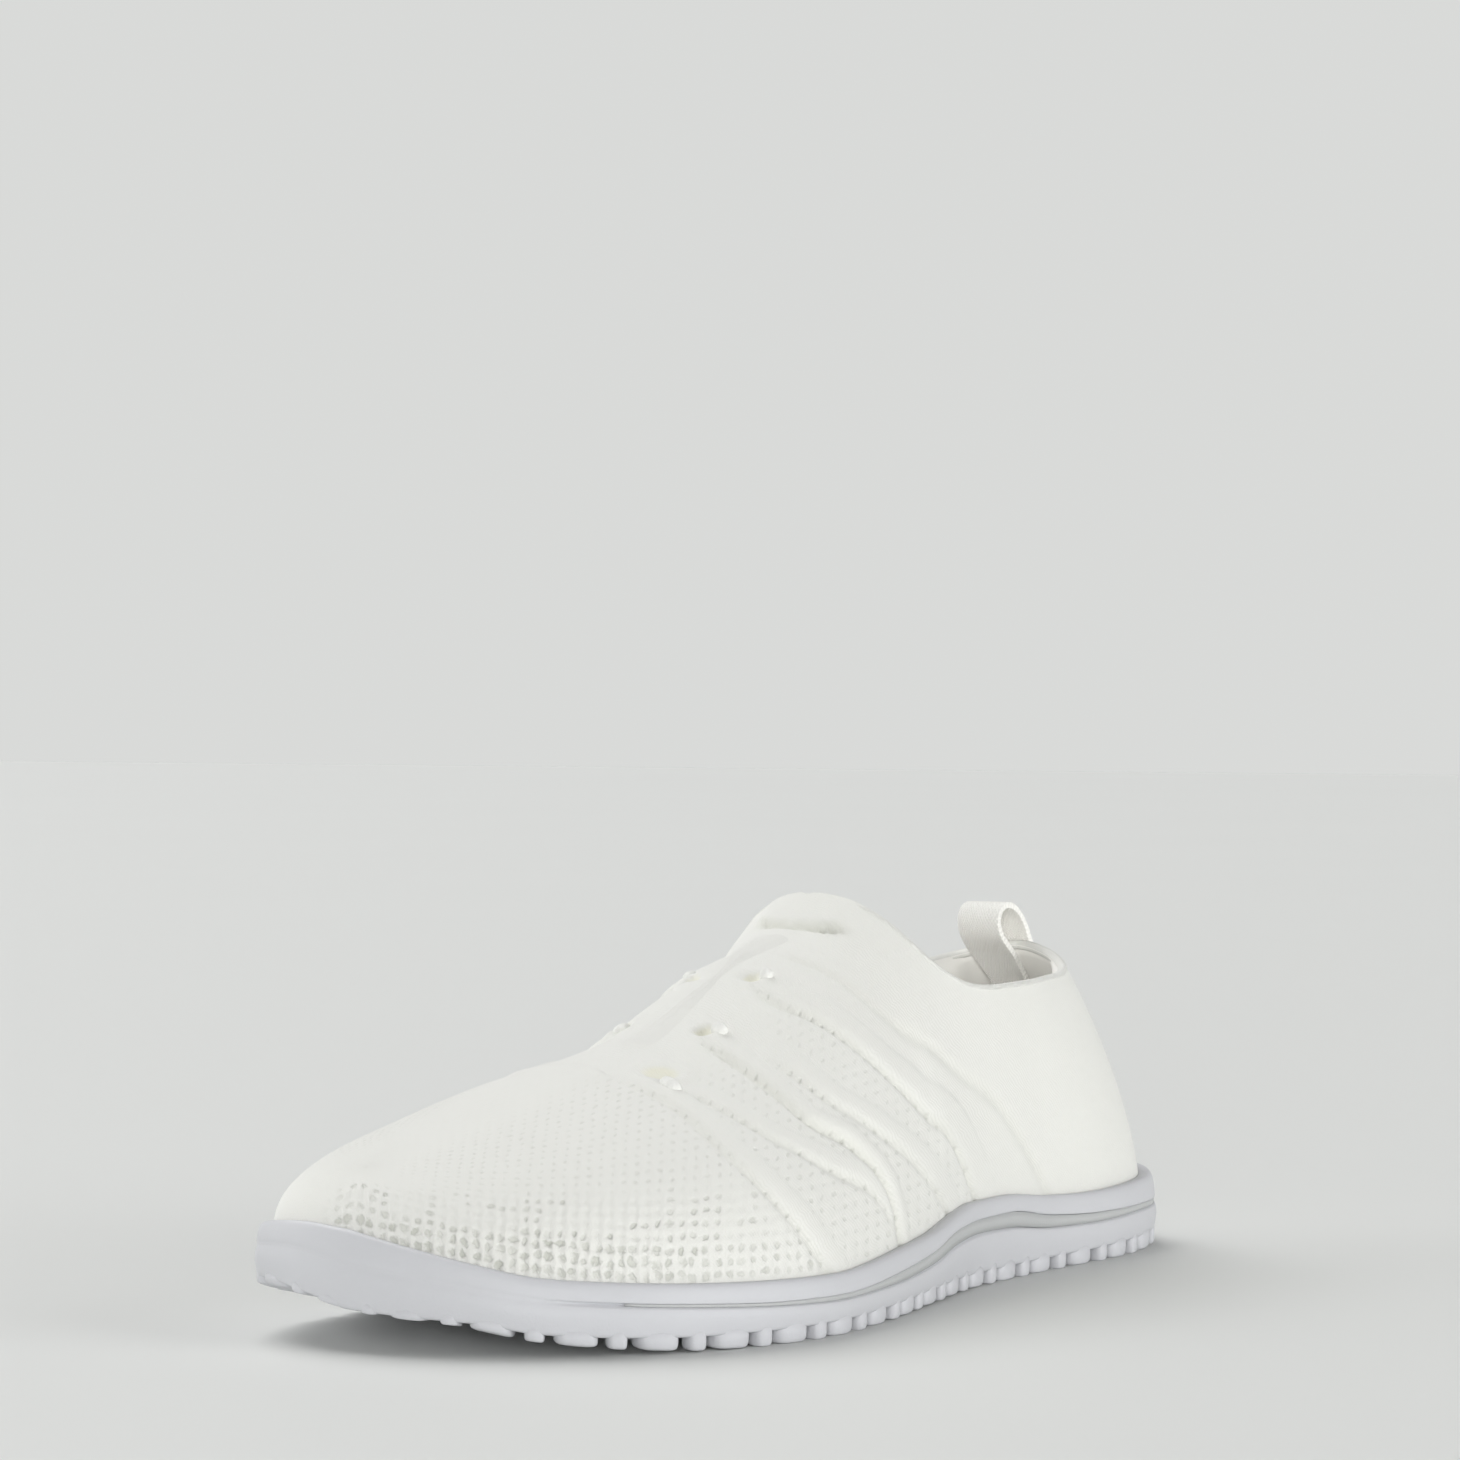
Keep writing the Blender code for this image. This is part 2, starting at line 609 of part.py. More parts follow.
def make_lace(name, run, made):
    """Short run of round cord lying beside an eyelet."""
    mesh = bmesh.new()
    side, share_a, rise_a, share_b, rise_b = run
    middle = [np.array(place(upper_point(side, share_a + (share_b - share_a) * k, rise_a + (rise_b - rise_a) * k,
                                         GAP + LACE_RADIUS))) for k in np.linspace(0.0, 1.0, 5)]
    rings = []
    for k, spot in enumerate(middle):
        ahead = Vector(middle[min(k + 1, 4)] - middle[max(k - 1, 0)]).normalized()
        across = ahead.orthogonal().normalized()
        over = ahead.cross(across)
        radius = LACE_RADIUS * 0.001 * (0.6 if k in (0, 4) else 1.0)
        turns = [math.tau * j / 7 for j in range(7)]
        rings.append([mesh.verts.new(Vector(spot) + (across * math.cos(a) + over * math.sin(a)) * radius)
                      for a in turns])
    for first, second in zip(rings, rings[1:]):
        nearest = min(range(7), key=lambda s: sum((first[j].co - second[(j + s) % 7].co).length for j in range(7)))
        second[:] = second[nearest:] + second[:nearest]
        ring_faces(mesh, first, second)
    mesh.faces.new(rings[0])
    mesh.faces.new(rings[-1])
    return finish(name, mesh, made)


def rise_at(side, share, height):
    """Rise on the last where it reaches a height."""
    rises = np.linspace(0.0, 1.0, 201)
    return float(np.interp(height, last_point(side, share, rises)[:, 2], rises))


def make_pull_loop(made):
    """Strap over the back of the collar: an outside leg, a loop that leans forward and an inside leg."""
    mesh = bmesh.new()
    half = LOOP_THICKNESS / 2
    legs = []
    for place_round in LOOP_SHARES:
        side, share = (1 if place_round > 0.0 else -1), abs(place_round)
        levels = [rise_at(side, share, height) for height in (LOOP_FOOT, 59.0, 64.8)]
        outside = [upper_point(side, share, rise, GAP + half) for rise in levels]
        inside = [upper_point(side, share, rise, -WALL - 2.5 * GAP - half) for rise in levels[1::-1]]
        legs.append((outside, inside))
    level = np.mean([outside[-1][1] for outside, inside in legs])
    lines = []
    for outside, inside in legs:
        across, along, up = outside[-1]
        bend = [(across, along + (level - along) * straight + forward, up + rise) for forward, rise, straight in LOOP]
        lines.append([mesh.verts.new(place(point)) for point in outside + bend + inside])
    for first, second in zip(lines, lines[1:]):
        for i in range(len(first) - 1):
            mesh.faces.new((first[i], first[i + 1], second[i + 1], second[i]))
    loop = finish("pull_loop", mesh, made)
    strap = loop.modifiers.new("strap", "SOLIDIFY")
    strap.thickness = LOOP_THICKNESS * 0.001
    strap.offset = 0.0
    return loop


WHITE_KNIT = material("white_knit", (0.80, 0.80, 0.77), 0.85)
WHITE_SOLE = material("white_sole", (0.68, 0.69, 0.71), 0.5)
GREY_STRIPE = material("grey_stripe", (0.42, 0.43, 0.43), 0.6)
LACE_CORD = material("lace_cord", (0.82, 0.82, 0.80), 0.7)
WEBBING = material("loop_webbing", (0.74, 0.73, 0.69), 0.85)
LINING = material("insole_lining", (0.62, 0.61, 0.57), 0.9)

make_sole(WHITE_SOLE)
make_stripe(GREY_STRIPE)
make_insole(LINING)
make_upper(WHITE_KNIT)
make_panel(WHITE_KNIT)
for number, run in enumerate(LACES):
    make_lace(f"lace_{'outer' if run[0] > 0 else 'inner'}_{number % 3 + 1}", run, LACE_CORD)
make_pull_loop(WEBBING)
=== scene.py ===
import functools
import math

import bmesh
import bpy
import numpy as np
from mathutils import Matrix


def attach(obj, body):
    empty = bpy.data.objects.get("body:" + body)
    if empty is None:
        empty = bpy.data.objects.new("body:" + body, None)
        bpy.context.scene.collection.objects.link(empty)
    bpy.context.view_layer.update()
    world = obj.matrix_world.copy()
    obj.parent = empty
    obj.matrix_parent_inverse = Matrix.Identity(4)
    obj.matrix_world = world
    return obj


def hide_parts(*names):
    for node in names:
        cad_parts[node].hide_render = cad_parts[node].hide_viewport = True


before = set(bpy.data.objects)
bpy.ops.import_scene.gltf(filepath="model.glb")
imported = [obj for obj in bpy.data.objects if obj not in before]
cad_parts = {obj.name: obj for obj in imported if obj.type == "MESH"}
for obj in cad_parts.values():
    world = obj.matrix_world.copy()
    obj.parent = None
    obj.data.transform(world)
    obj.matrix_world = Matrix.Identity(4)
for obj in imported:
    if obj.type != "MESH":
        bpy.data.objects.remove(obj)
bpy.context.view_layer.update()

# Camera. It stands low in front of the outer side of the toe, about a metre away, and looks almost level.
# A long lens keeps the shoe's proportions.


def put(name, data):
    """A new object in the scene."""
    made = bpy.data.objects.new(name, data)
    bpy.context.collection.objects.link(made)
    return made


camera_data = bpy.data.cameras.new("camera")
camera_data.lens = 126.345
camera_data.sensor_width = 36.0
camera_data.clip_start = 0.01
camera = put("camera", camera_data)
camera.location = (0.56308, -0.87477, 0.12068)
camera.rotation_euler = (math.radians(89.58711), 0.0, math.radians(33.49239))
bpy.context.scene.camera = camera

# Cup sole. One white rubber moulding that wraps the foot of the upper: a bed, a rounded side with a groove for the
# stripe, and a soft rim whose lip lies against the knit. The upper is cemented into the cup.
LENGTH = 265.0
RIM = 3.0
GAP = 0.3
EDGE_STEPS = 16
SOLE_STEPS = 150
sole_shares = np.linspace(0.0, 1.0, SOLE_STEPS + 1)
# Outline, a row for each section across: share of the length, outer reach, inner reach
OUTLINE = (
    (0.00, -4.0, 4.0),
    (0.03, 17.0, 22.0),
    (0.08, 28.0, 31.0),
    (0.17, 34.0, 36.0),
    (0.30, 35.0, 36.0),
    (0.42, 38.0, 33.0),
    (0.54, 46.0, 34.0),
    (0.65, 53.0, 38.0),
    (0.75, 56.0, 43.0),
    (0.84, 51.0, 45.0),
    (0.91, 41.0, 43.0),
    (0.97, 22.0, 34.0),
    (1.00, -8.0, 8.0),
)
# Heights of the side, a row for each section:
# share of the way from heel end to toe tip, tread, underside, bed, stripe low, stripe high, rim
SIDE = (
    (0.00, 2.4, 5.2, 8.6, 9.6, 10.6, 18.0),
    (0.06, 1.4, 4.4, 8.2, 9.4, 10.5, 16.8),
    (0.12, 0.5, 3.7, 7.8, 9.2, 10.4, 15.8),
    (0.18, 0.0, 3.2, 7.6, 8.9, 10.3, 15.2),
    (0.24, 0.0, 2.9, 7.4, 8.5, 10.5, 15.0),
    (0.30, 0.0, 2.8, 7.4, 9.0, 11.6, 15.8),
    (0.36, 0.0, 2.8, 7.4, 10.7, 13.9, 17.4),
    (0.41, 0.2, 3.0, 7.4, 11.0, 13.9, 17.4),
    (0.46, 0.4, 3.2, 7.4, 10.2, 13.1, 15.8),
    (0.51, 0.4, 3.2, 7.2, 8.2, 10.6, 14.0),
    (0.57, 0.2, 3.0, 7.0, 7.1, 9.2, 13.1),
    (0.66, 0.0, 2.8, 6.8, 6.7, 7.7, 11.6),
    (0.72, 0.0, 2.8, 6.8, 7.2, 7.9, 11.9),
    (0.78, 0.3, 2.9, 7.0, 8.2, 8.8, 12.5),
    (0.84, 1.5, 3.5, 8.0, 9.4, 9.9, 13.5),
    (0.88, 2.9, 4.3, 9.2, 10.4, 10.8, 14.4),
    (0.92, 5.4, 6.2, 11.6, 12.4, 12.8, 16.8),
    (0.96, 6.3, 7.0, 13.8, 14.6, 15.0, 19.6),
    (1.00, 7.3, 7.9, 15.4, 16.2, 16.6, 22.4),
)
TREAD, UNDERSIDE, BED, STRIPE_LOW, STRIPE_HIGH, RIM_TOP = range(1, 7)
# The big toe side turns up a little more: share of the way, lift
INNER_LIFT = ((0.0, 0.0), (0.70, 0.0), (0.78, 2.6), (0.84, 5.2), (0.88, 6.2), (0.92, 5.4), (0.96, 3.5), (1.0, 0.0))
# Side of the sole from its underside up: inset from the outline, height between underside and stripe
LOWER_SIDE = (
    (1.0, 0.00), (0.7, 0.02), (0.5, 0.06), (0.4, 0.14), (0.2, 0.32), (0.0, 0.56), (0.05, 0.76), (0.22, 0.90),
    (0.38, 0.97),
)
# From the stripe up over the rim: inset, height between stripe and rim
UPPER_SIDE = (
    (0.42, 0.02), (0.36, 0.08), (0.44, 0.30), (0.60, 0.55), (0.84, 0.76), (1.15, 0.90), (1.55, 0.98), (2.00, 1.0),
)
# The rim's inner lip lies against the knit: inset, share of the height; it leans in further at the heel and toe
RIM_LIP = ((2.70, 0.985), (3.35, 0.94), (3.85, 0.86), (3.90, 0.76), (2.90, 0.60))
LIP_LEAN = ((0.0, 0.6), (0.04, 0.7), (0.08, 0.75), (0.14, 0.2), (0.20, 0.0), (0.85, 0.0), (0.92, 0.2), (1.0, 0.1))
# Groove for the stripe: inset of its lip, depth, and the share of the depth along the way
GROOVE_LIP, GROOVE_DEPTH = 0.4, 1.4
GROOVE = ((0.0, 1.0), (0.84, 1.0), (0.88, 0.0), (1.0, 0.0))
MOULDED_BUMP = 0.0002


def hermite(t, first, first_slope, second, second_slope):
    return ((2 * t**3 - 3 * t**2 + 1) * first + (t**3 - 2 * t**2 + t) * first_slope
            + (3 * t**2 - 2 * t**3) * second + (t**3 - t**2) * second_slope)


def smooth(where, table, column=1, key=0):
    """Monotone cubic curve through a table's column, over its key column."""
    rows = np.array(table, float)
    knots, values = rows[:, key], rows[:, column]
    where = np.clip(where, knots[0], knots[-1])
    step = np.diff(knots)
    rate = np.diff(values) / step
    slope = np.zeros(len(knots))
    for i in range(1, len(knots) - 1):
        if rate[i - 1] * rate[i] > 0.0:
            a, b = 2 * step[i] + step[i - 1], step[i] + 2 * step[i - 1]
            slope[i] = (a + b) / (a / rate[i - 1] + b / rate[i])
    slope[0], slope[-1] = rate[0], rate[-1]
    i = np.clip(np.searchsorted(knots, where) - 1, 0, len(step) - 1)
    h = step[i]
    return hermite((where - knots[i]) / h, values[i], h * slope[i], values[i + 1], h * slope[i + 1])


def closed_curve(points, steps):
    """Round curve through a closed list of points, eased by the distance between them."""
    points = np.asarray(points, float)
    count = len(points)
    gap = norm(np.roll(points, -1, 0) - points) ** 0.5
    t = np.linspace(0.0, 1.0, steps, endpoint=False)[:, None]
    spans = []
    for i in range(count):
        p0, p1, p2, p3 = (points[(i + k) % count] for k in (-1, 0, 1, 2))
        d0, d1, d2 = (gap[(i + k) % count] for k in (-1, 0, 1))
        m1 = ((p1 - p0) / d0 - (p2 - p0) / (d0 + d1) + (p2 - p1) / d1) * d1
        m2 = ((p2 - p1) / d1 - (p3 - p1) / (d1 + d2) + (p3 - p2) / d2) * d1
        spans.append(hermite(t, p1, m1, p2, m2))
    return np.concatenate(spans)


def norm(ways):
    return np.linalg.norm(ways, axis=-1)


def unit(ways):
    return ways / norm(ways)[..., None]


def distances(line):
    """Distance of each point of a line from its start."""
    far = np.cumsum(norm(np.diff(line, axis=0)), axis=0)
    return np.concatenate([far[:1] * 0.0, far])


def there_and_back(outer, inner):
    """Rows along the outer side from end to end, then back along the inner side."""
    return np.concatenate([outer, inner[-2::-1]])


EDGE = closed_curve([(out, share * LENGTH) for share, out, inn in OUTLINE]
                    + [(-inn, share * LENGTH) for share, out, inn in OUTLINE[-2:0:-1]], EDGE_STEPS)
MIDDLE = (EDGE[:, 0].max() + EDGE[:, 0].min()) / 2
EDGE_RUN = np.roll(EDGE, -1, 0) - np.roll(EDGE, 1, 0)
EDGE_IN = unit(np.stack([-EDGE_RUN[:, 1], EDGE_RUN[:, 0]], 1))


@functools.lru_cache(None)
def half_line(side, amount):
    """One side of an inset outline from heel end to toe tip, with its shares of the way."""
    heel, toe = np.argmin(EDGE[:, 1]), np.argmax(EDGE[:, 1])
    round_edge = np.roll(EDGE + EDGE_IN * amount, -heel, 0)
    toe = (toe - heel) % len(round_edge)
    line = round_edge[:toe + 1] if side > 0 else np.concatenate([round_edge[:1], round_edge[:toe - 1:-1]])
    far = distances(line)
    return far / far[-1], line


def half_edge(side, amount, shares):
    """Points at shares of the way from heel end to toe tip along one side of an inset outline."""
    far, line = half_line(side, amount)
    return np.stack([np.interp(shares, far, line[:, k]) for k in (0, 1)], -1)


def side_height(share, column, side):
    """Height of one line of the sole's side at a share of the way from heel end to toe tip."""
    return smooth(share, SIDE, column) + (smooth(share, INNER_LIFT) if side < 0 else 0.0)


def round_ring(amount):
    """Places once round an inset outline and back to the heel end."""
    return there_and_back(*(half_edge(side, amount, sole_shares) for side in (1, -1)))


def round_heights(column):
    """Heights of one line of the sole's side at the places of round_ring."""
    return there_and_back(*(side_height(sole_shares, column, side) for side in (1, -1)))


def across_middle(ring):
    """Each place or height of a ring carried half way across the shoe."""
    return (ring + ring[::-1]) / 2


def ring_row(ring, heights):
    return np.concatenate([ring, heights[:, None]], 1)


def side_rows(table, foot, top, lean=0.0):
    """Rows of the side between two of its lines, from a table of insets and shares of the height."""
    made = []
    for inset, share in table:
        ring = round_ring(inset)
        made.append(ring_row(ring + (round_ring(inset + 1.0) - ring) * lean, foot + (top - foot) * share))
    return made


def lay_grid(points, marks=None, mesh=None):
    """A mesh of quads on rows of points in the tables' millimetres, toe towards -Y, with its marks as attributes."""
    mesh = mesh or bmesh.new()
    spots = (np.array(points) * (1.0, -1.0, 1.0) + (-MIDDLE, LENGTH / 2, 0.0)) * 0.001
    rows, columns = spots.shape[:2]
    layers = []
    for name, values in (marks or {}).items():
        kind = mesh.verts.layers.float_vector if values.ndim == 3 else mesh.verts.layers.float
        layers.append((kind.get(name) or kind.new(name), values))
    for vertex in bmesh.ops.create_grid(mesh, x_segments=columns - 1, y_segments=rows - 1, size=0.5)["verts"]:
        spot = round((vertex.co.y + 0.5) * (rows - 1)), round((vertex.co.x + 0.5) * (columns - 1))
        vertex.co = spots[spot]
        for layer, values in layers:
            vertex[layer] = values[spot]
    return mesh


def put_mesh(name, mesh, finish):
    """An object made of a mesh in one finish."""
    data = bpy.data.meshes.new(name)
    mesh.to_mesh(data)
    mesh.free()
    data.materials.append(finish)
    return put(name, data)


def finish_piece(name, mesh, finish, slot, *nodes, merge=1e-6):
    """Closes a mesh into a piece that rides on the shoe and stands for its CAD nodes."""
    bmesh.ops.remove_doubles(mesh, verts=mesh.verts, dist=merge)
    bmesh.ops.recalc_face_normals(mesh, faces=mesh.faces)
    piece = put_mesh(name, mesh, finish)
    piece.data.polygons.foreach_set("use_smooth", [True] * len(piece.data.polygons))
    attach(piece, "root")
    if nodes:
        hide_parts(*nodes)
    return piece


def add(tree, kind, inputs=None, **settings):
    """A node with its settings, fed by values or by other nodes."""
    made = tree.nodes.new("ShaderNode" + kind)
    for name, value in settings.items():
        setattr(made, name, value)
    for key, value in (inputs or {}).items():
        if isinstance(value, bpy.types.NodeSocket):
            tree.links.new(value, made.inputs[key])
        else:
            made.inputs[key].default_value = value
    return made


def calc(tree, operation, *values):
    return add(tree, "Math", dict(enumerate(values)), operation=operation).outputs[0]


def noise(tree, place, scale, detail=2.0):
    return add(tree, "TexNoise", {"Vector": place, "Scale": scale, "Detail": detail}).outputs


def ramp(tree, value, low, high, start=0.0, end=1.0):
    """Soft step from start to end while a value goes from low to high."""
    return add(tree, "MapRange", {"Value": value, "From Min": low, "From Max": high, "To Min": start, "To Max": end},
               interpolation_type="SMOOTHSTEP").outputs[0]


def blend_colours(tree, share, first, second):
    """Mix of two colours; a colour is a socket or red, green and blue."""
    ends = [c if isinstance(c, bpy.types.NodeSocket) else (*c, 1.0) for c in (first, second)]
    return add(tree, "Mix", {0: share, 6: ends[0], 7: ends[1]}, data_type="RGBA").outputs[2]


def new_finish(name, colour, roughness, **sockets):
    """A material with its shader's plain values."""
    made = bpy.data.materials.new(name)
    made.use_nodes = True
    shader = made.node_tree.nodes["Principled BSDF"]
    shader.inputs["Base Color"].default_value = (*colour, 1.0)
    shader.inputs["Roughness"].default_value = roughness
    for key, value in sockets.items():
        shader.inputs[key.replace("_", " ")].default_value = value
    return made, made.node_tree, shader


def new_group(name, inputs, outputs):
    """A shader node group with named inputs and outputs."""
    tree = bpy.data.node_groups.new(name, "ShaderNodeTree")
    for label, kind, value in inputs:
        made = tree.interface.new_socket(label, in_out="INPUT", socket_type="NodeSocket" + kind)
        made.default_value = value
    for label, kind in outputs:
        tree.interface.new_socket(label, in_out="OUTPUT", socket_type="NodeSocket" + kind)
    return tree, tree.nodes.new("NodeGroupInput").outputs, tree.nodes.new("NodeGroupOutput").inputs


def use_bump(tree, shader, height, strength, distance):
    """Bump of a height on the shader's normal; distance in metres."""
    bump = add(tree, "Bump", {"Height": height, "Strength": strength, "Distance": distance})
    tree.links.new(bump.outputs[0], shader.inputs["Normal"])


# Moulded grain: cloudy tone and fine grain, for the rubber pieces
moulded_grain, grain_in, grain_out = new_group(
    "moulded_grain", (("Scale", "Float", 1.0), ("Contrast", "Float", 0.04)),
    (("Tone", "Float"), ("Height", "Float"), ("Roughness", "Float")))
grain_place = add(moulded_grain, "TexCoord").outputs["Object"]
cloud = noise(moulded_grain, grain_place, 60.0, 3.0)[0]
fine_scale = calc(moulded_grain, "MULTIPLY", grain_in["Scale"], 1800.0)
fine = noise(moulded_grain, grain_place, fine_scale)[0]
cloud_tone = calc(moulded_grain, "SUBTRACT", cloud, 0.5)
cloud_tone = calc(moulded_grain, "MULTIPLY_ADD", cloud_tone, grain_in["Contrast"], 1.0)
moulded_grain.links.new(cloud_tone, grain_out["Tone"])
moulded_grain.links.new(fine, grain_out["Height"])
moulded_grain.links.new(calc(moulded_grain, "MULTIPLY_ADD", cloud, 0.2, 0.38), grain_out["Roughness"])


def moulded_finish(name, colour, scale, contrast, grain):
    made, tree, shader = new_finish(name, colour, 0.5, Specular_IOR_Level=0.35)
    grains = add(tree, "Group", {"Scale": scale, "Contrast": contrast}, node_tree=moulded_grain).outputs
    tint = add(tree, "VectorMath", {0: colour, 1: grains["Tone"]}, operation="MULTIPLY").outputs[0]
    tree.links.new(tint, shader.inputs["Base Color"])
    tree.links.new(grains["Roughness"], shader.inputs["Roughness"])
    use_bump(tree, shader, grains["Height"], grain, MOULDED_BUMP)
    return made


white_rubber = moulded_finish("white_rubber", (0.605, 0.61, 0.635), 1.0, 0.06, 0.25)
under, bed, low, high, rim = (round_heights(c) for c in (UNDERSIDE, BED, STRIPE_LOW, STRIPE_HIGH, RIM_TOP))
groove_share, lean = (smooth(sole_shares, table)[:, None] for table in (GROOVE, LIP_LEAN))
groove_share, lean = there_and_back(groove_share, groove_share), there_and_back(lean, lean)
groove = round_ring(GROOVE_LIP)
groove = groove + (round_ring(GROOVE_LIP + GROOVE_DEPTH) - groove) * groove_share
under_edge, bed_edge = round_ring(LOWER_SIDE[0][0]), round_ring(RIM)
sole_rows = [
    ring_row(across_middle(under_edge), across_middle(under)), *side_rows(LOWER_SIDE, under, low),
    ring_row(groove, low), ring_row(groove, high), *side_rows(UPPER_SIDE, high, rim),
    *side_rows(RIM_LIP, high, rim, lean),
    ring_row(bed_edge, bed), ring_row(across_middle(bed_edge), across_middle(bed)),
]
finish_piece("sole_cup", lay_grid(sole_rows), white_rubber, "sole", "sole")

# Tread lugs. Rounded lugs moulded with the cup: long and short ones by turns along the edge, flush with its side,
# then rows of round ones inside it. Their lower edges are rounded.
LUG_SINK = 1.5
LUG_ROUND = 20
# Squareness of a lug, least gap between lugs, and how far one may come nearer to the far edge
LUG_SQUARE, LUG_GAP, LUG_PLAY = 0.6, 1.2, 0.8
# Rows of lugs: gap to the outline, pitch, by turns half length along the edge and half breadth across it
LUG_ROWS = (
    (0.35, 7.4, ((4.1, 3.4), (1.9, 2.2))),
    (13.5, 16.0, ((3.9, 3.9),)),
    (27.5, 16.0, ((3.9, 3.9),)),
)
# Form of a lug from the top down: share of its height, share of its breadth
LUG_FORM = ((0.0, 0.0), (0.0, 1.0), (0.60, 1.0), (0.80, 0.98), (0.91, 0.93), (0.97, 0.84), (1.0, 0.70), (1.0, 0.0))


def height_inside(x, y, column):
    """Height of one line of the sole's side, carried straight across to places inside the outline."""
    ends = []
    for side in (1, -1):
        far, line = half_line(side, 0.0)
        share = np.interp(y, line[:, 1], far)
        ends.append((np.interp(share, far, line[:, 0]), side_height(share, column, side)))
    (outer_x, outer_z), (inner_x, inner_z) = ends
    return inner_z + (outer_z - inner_z) * np.clip((x - inner_x) / (outer_x - inner_x), 0.0, 1.0)


lug_turn = np.linspace(0.0, math.tau, LUG_ROUND + 1)
lug_along, lug_across = (np.sign(way) * np.abs(way) ** LUG_SQUARE for way in (np.cos(lug_turn), np.sin(lug_turn)))
lug_mesh = bmesh.new()
lugs = []
for gap, pitch, sizes in LUG_ROWS:
    far, last, turn = pitch, EDGE[0], 0
    for spot_out, spot_in in zip(EDGE, EDGE_IN):
        far += norm(spot_out - last)
        last = spot_out
        length, breadth = sizes[turn % len(sizes)]
        spot = spot_out + spot_in * (gap + breadth)
        inside = np.min(norm(EDGE - spot)) > gap + breadth - LUG_PLAY
        clear = all(norm(spot - other) > length + reach + LUG_GAP for other, reach in lugs)
        if not (inside and far >= pitch and clear):
            continue
        lugs.append((spot, length))
        far, turn = 0.0, turn + 1
        run = np.array((spot_in[1], -spot_in[0]))
        lug_rows = []
        for level, share in LUG_FORM:
            ring = spot + (lug_along[:, None] * run * length + lug_across[:, None] * spot_in * breadth) * share
            top = height_inside(ring[:, 0], ring[:, 1], UNDERSIDE) + LUG_SINK
            lug_rows.append(ring_row(ring, top + (height_inside(ring[:, 0], ring[:, 1], TREAD) - top) * level))
        lay_grid(lug_rows, mesh=lug_mesh)
finish_piece("tread_lugs", lug_mesh, white_rubber, "sole")

# Stripe. A grey rubber inlay in the sole's groove, from the inner ball round the heel to the outer ball.
# It is moulded in flush and thins to a line towards the toe.
STRIPE_END = 0.832
# Section of the stripe: inset from the outline, share of the groove's height
STRIPE_FORM = ((0.62, 0.02), (0.54, 0.5), (0.62, 0.98), (1.5, 0.98), (1.5, 0.02), (0.62, 0.02))


def close_ends(mesh, merge):
    """Joins the seams of a laid mesh and fills its open ends."""
    bmesh.ops.remove_doubles(mesh, verts=mesh.verts, dist=merge)
    bmesh.ops.holes_fill(mesh, edges=[e for e in mesh.edges if e.is_boundary], sides=0)


grey_rubber = moulded_finish("grey_rubber", (0.50, 0.51, 0.51), 1.3, 0.08, 0.3)
stripe_shares = np.linspace(0.0, STRIPE_END, SOLE_STEPS)
stripe_rows = []
for inset, level in STRIPE_FORM:
    line = []
    for side, order in ((-1, stripe_shares[::-1]), (1, stripe_shares[1:])):
        low_line, high_line = (side_height(order, column, side) for column in (STRIPE_LOW, STRIPE_HIGH))
        line.append(ring_row(half_edge(side, inset, order), low_line + (high_line - low_line) * level))
    stripe_rows.append(np.concatenate(line))
stripe_mesh = lay_grid(stripe_rows)
close_ends(stripe_mesh, 1e-6)
finish_piece("stripe_inlay", stripe_mesh, grey_rubber, "stripe", "sole_stripe")

# Insole. A thin foam bed with a knitted cover, laid loose inside the upper's foot.
# Its edge is rounded and its middle dips a little.
WALL = 2.0
INSOLE_PLAY, INSOLE_MIDDLE = 2.2, 2.6
INSOLE_INSET = RIM + GAP + WALL + INSOLE_PLAY
# Edge of the insole from its underside up: inset, height above the bed
INSOLE_EDGE = ((0.4, 0.0), (0.1, 0.3), (0.0, 1.2), (0.05, 2.2), (0.4, 2.8), (1.2, 3.0))


def use_colours(tree, shader, share, first, second):
    """Blend of two colours as the shader's base colour."""
    tree.links.new(blend_colours(tree, share, first, second), shader.inputs["Base Color"])


insole_cover, insole_tree, insole_shader = new_finish("insole_cover", (0.84, 0.82, 0.77), 0.9, Sheen_Weight=0.1)
insole_place = add(insole_tree, "TexCoord").outputs["Object"]
insole_weave = add(insole_tree, "TexWave", {"Vector": insole_place, "Scale": 500.0, "Distortion": 0.6}).outputs[1]
insole_cloud = noise(insole_tree, insole_place, 40.0)[0]
use_colours(insole_tree, insole_shader, insole_cloud, (0.86, 0.84, 0.79), (0.80, 0.78, 0.73))
use_bump(insole_tree, insole_shader, insole_weave, 0.3, 0.0003)
insole_foot = bed + GAP
insole_line, insole_mid = across_middle(round_ring(INSOLE_INSET)), across_middle(insole_foot)
insole_rows = [ring_row(insole_line, insole_mid)]
for inset, lift in INSOLE_EDGE:
    insole_rows.append(ring_row(round_ring(INSOLE_INSET + inset), insole_foot + lift))
insole_rows.append(ring_row(insole_line, insole_mid + INSOLE_MIDDLE))
finish_piece("insole_bed", lay_grid(insole_rows), insole_cover, "insole", "insole")

# Upper. One knitted shell with its lining, open at the collar: a plain heel quarter, three fingers of smooth strips
# that run up to the eyelets with open knit between them, and a vamp whose holes grow towards the sole.
# Its foot is cemented into the cup.
TUCK = 0.3
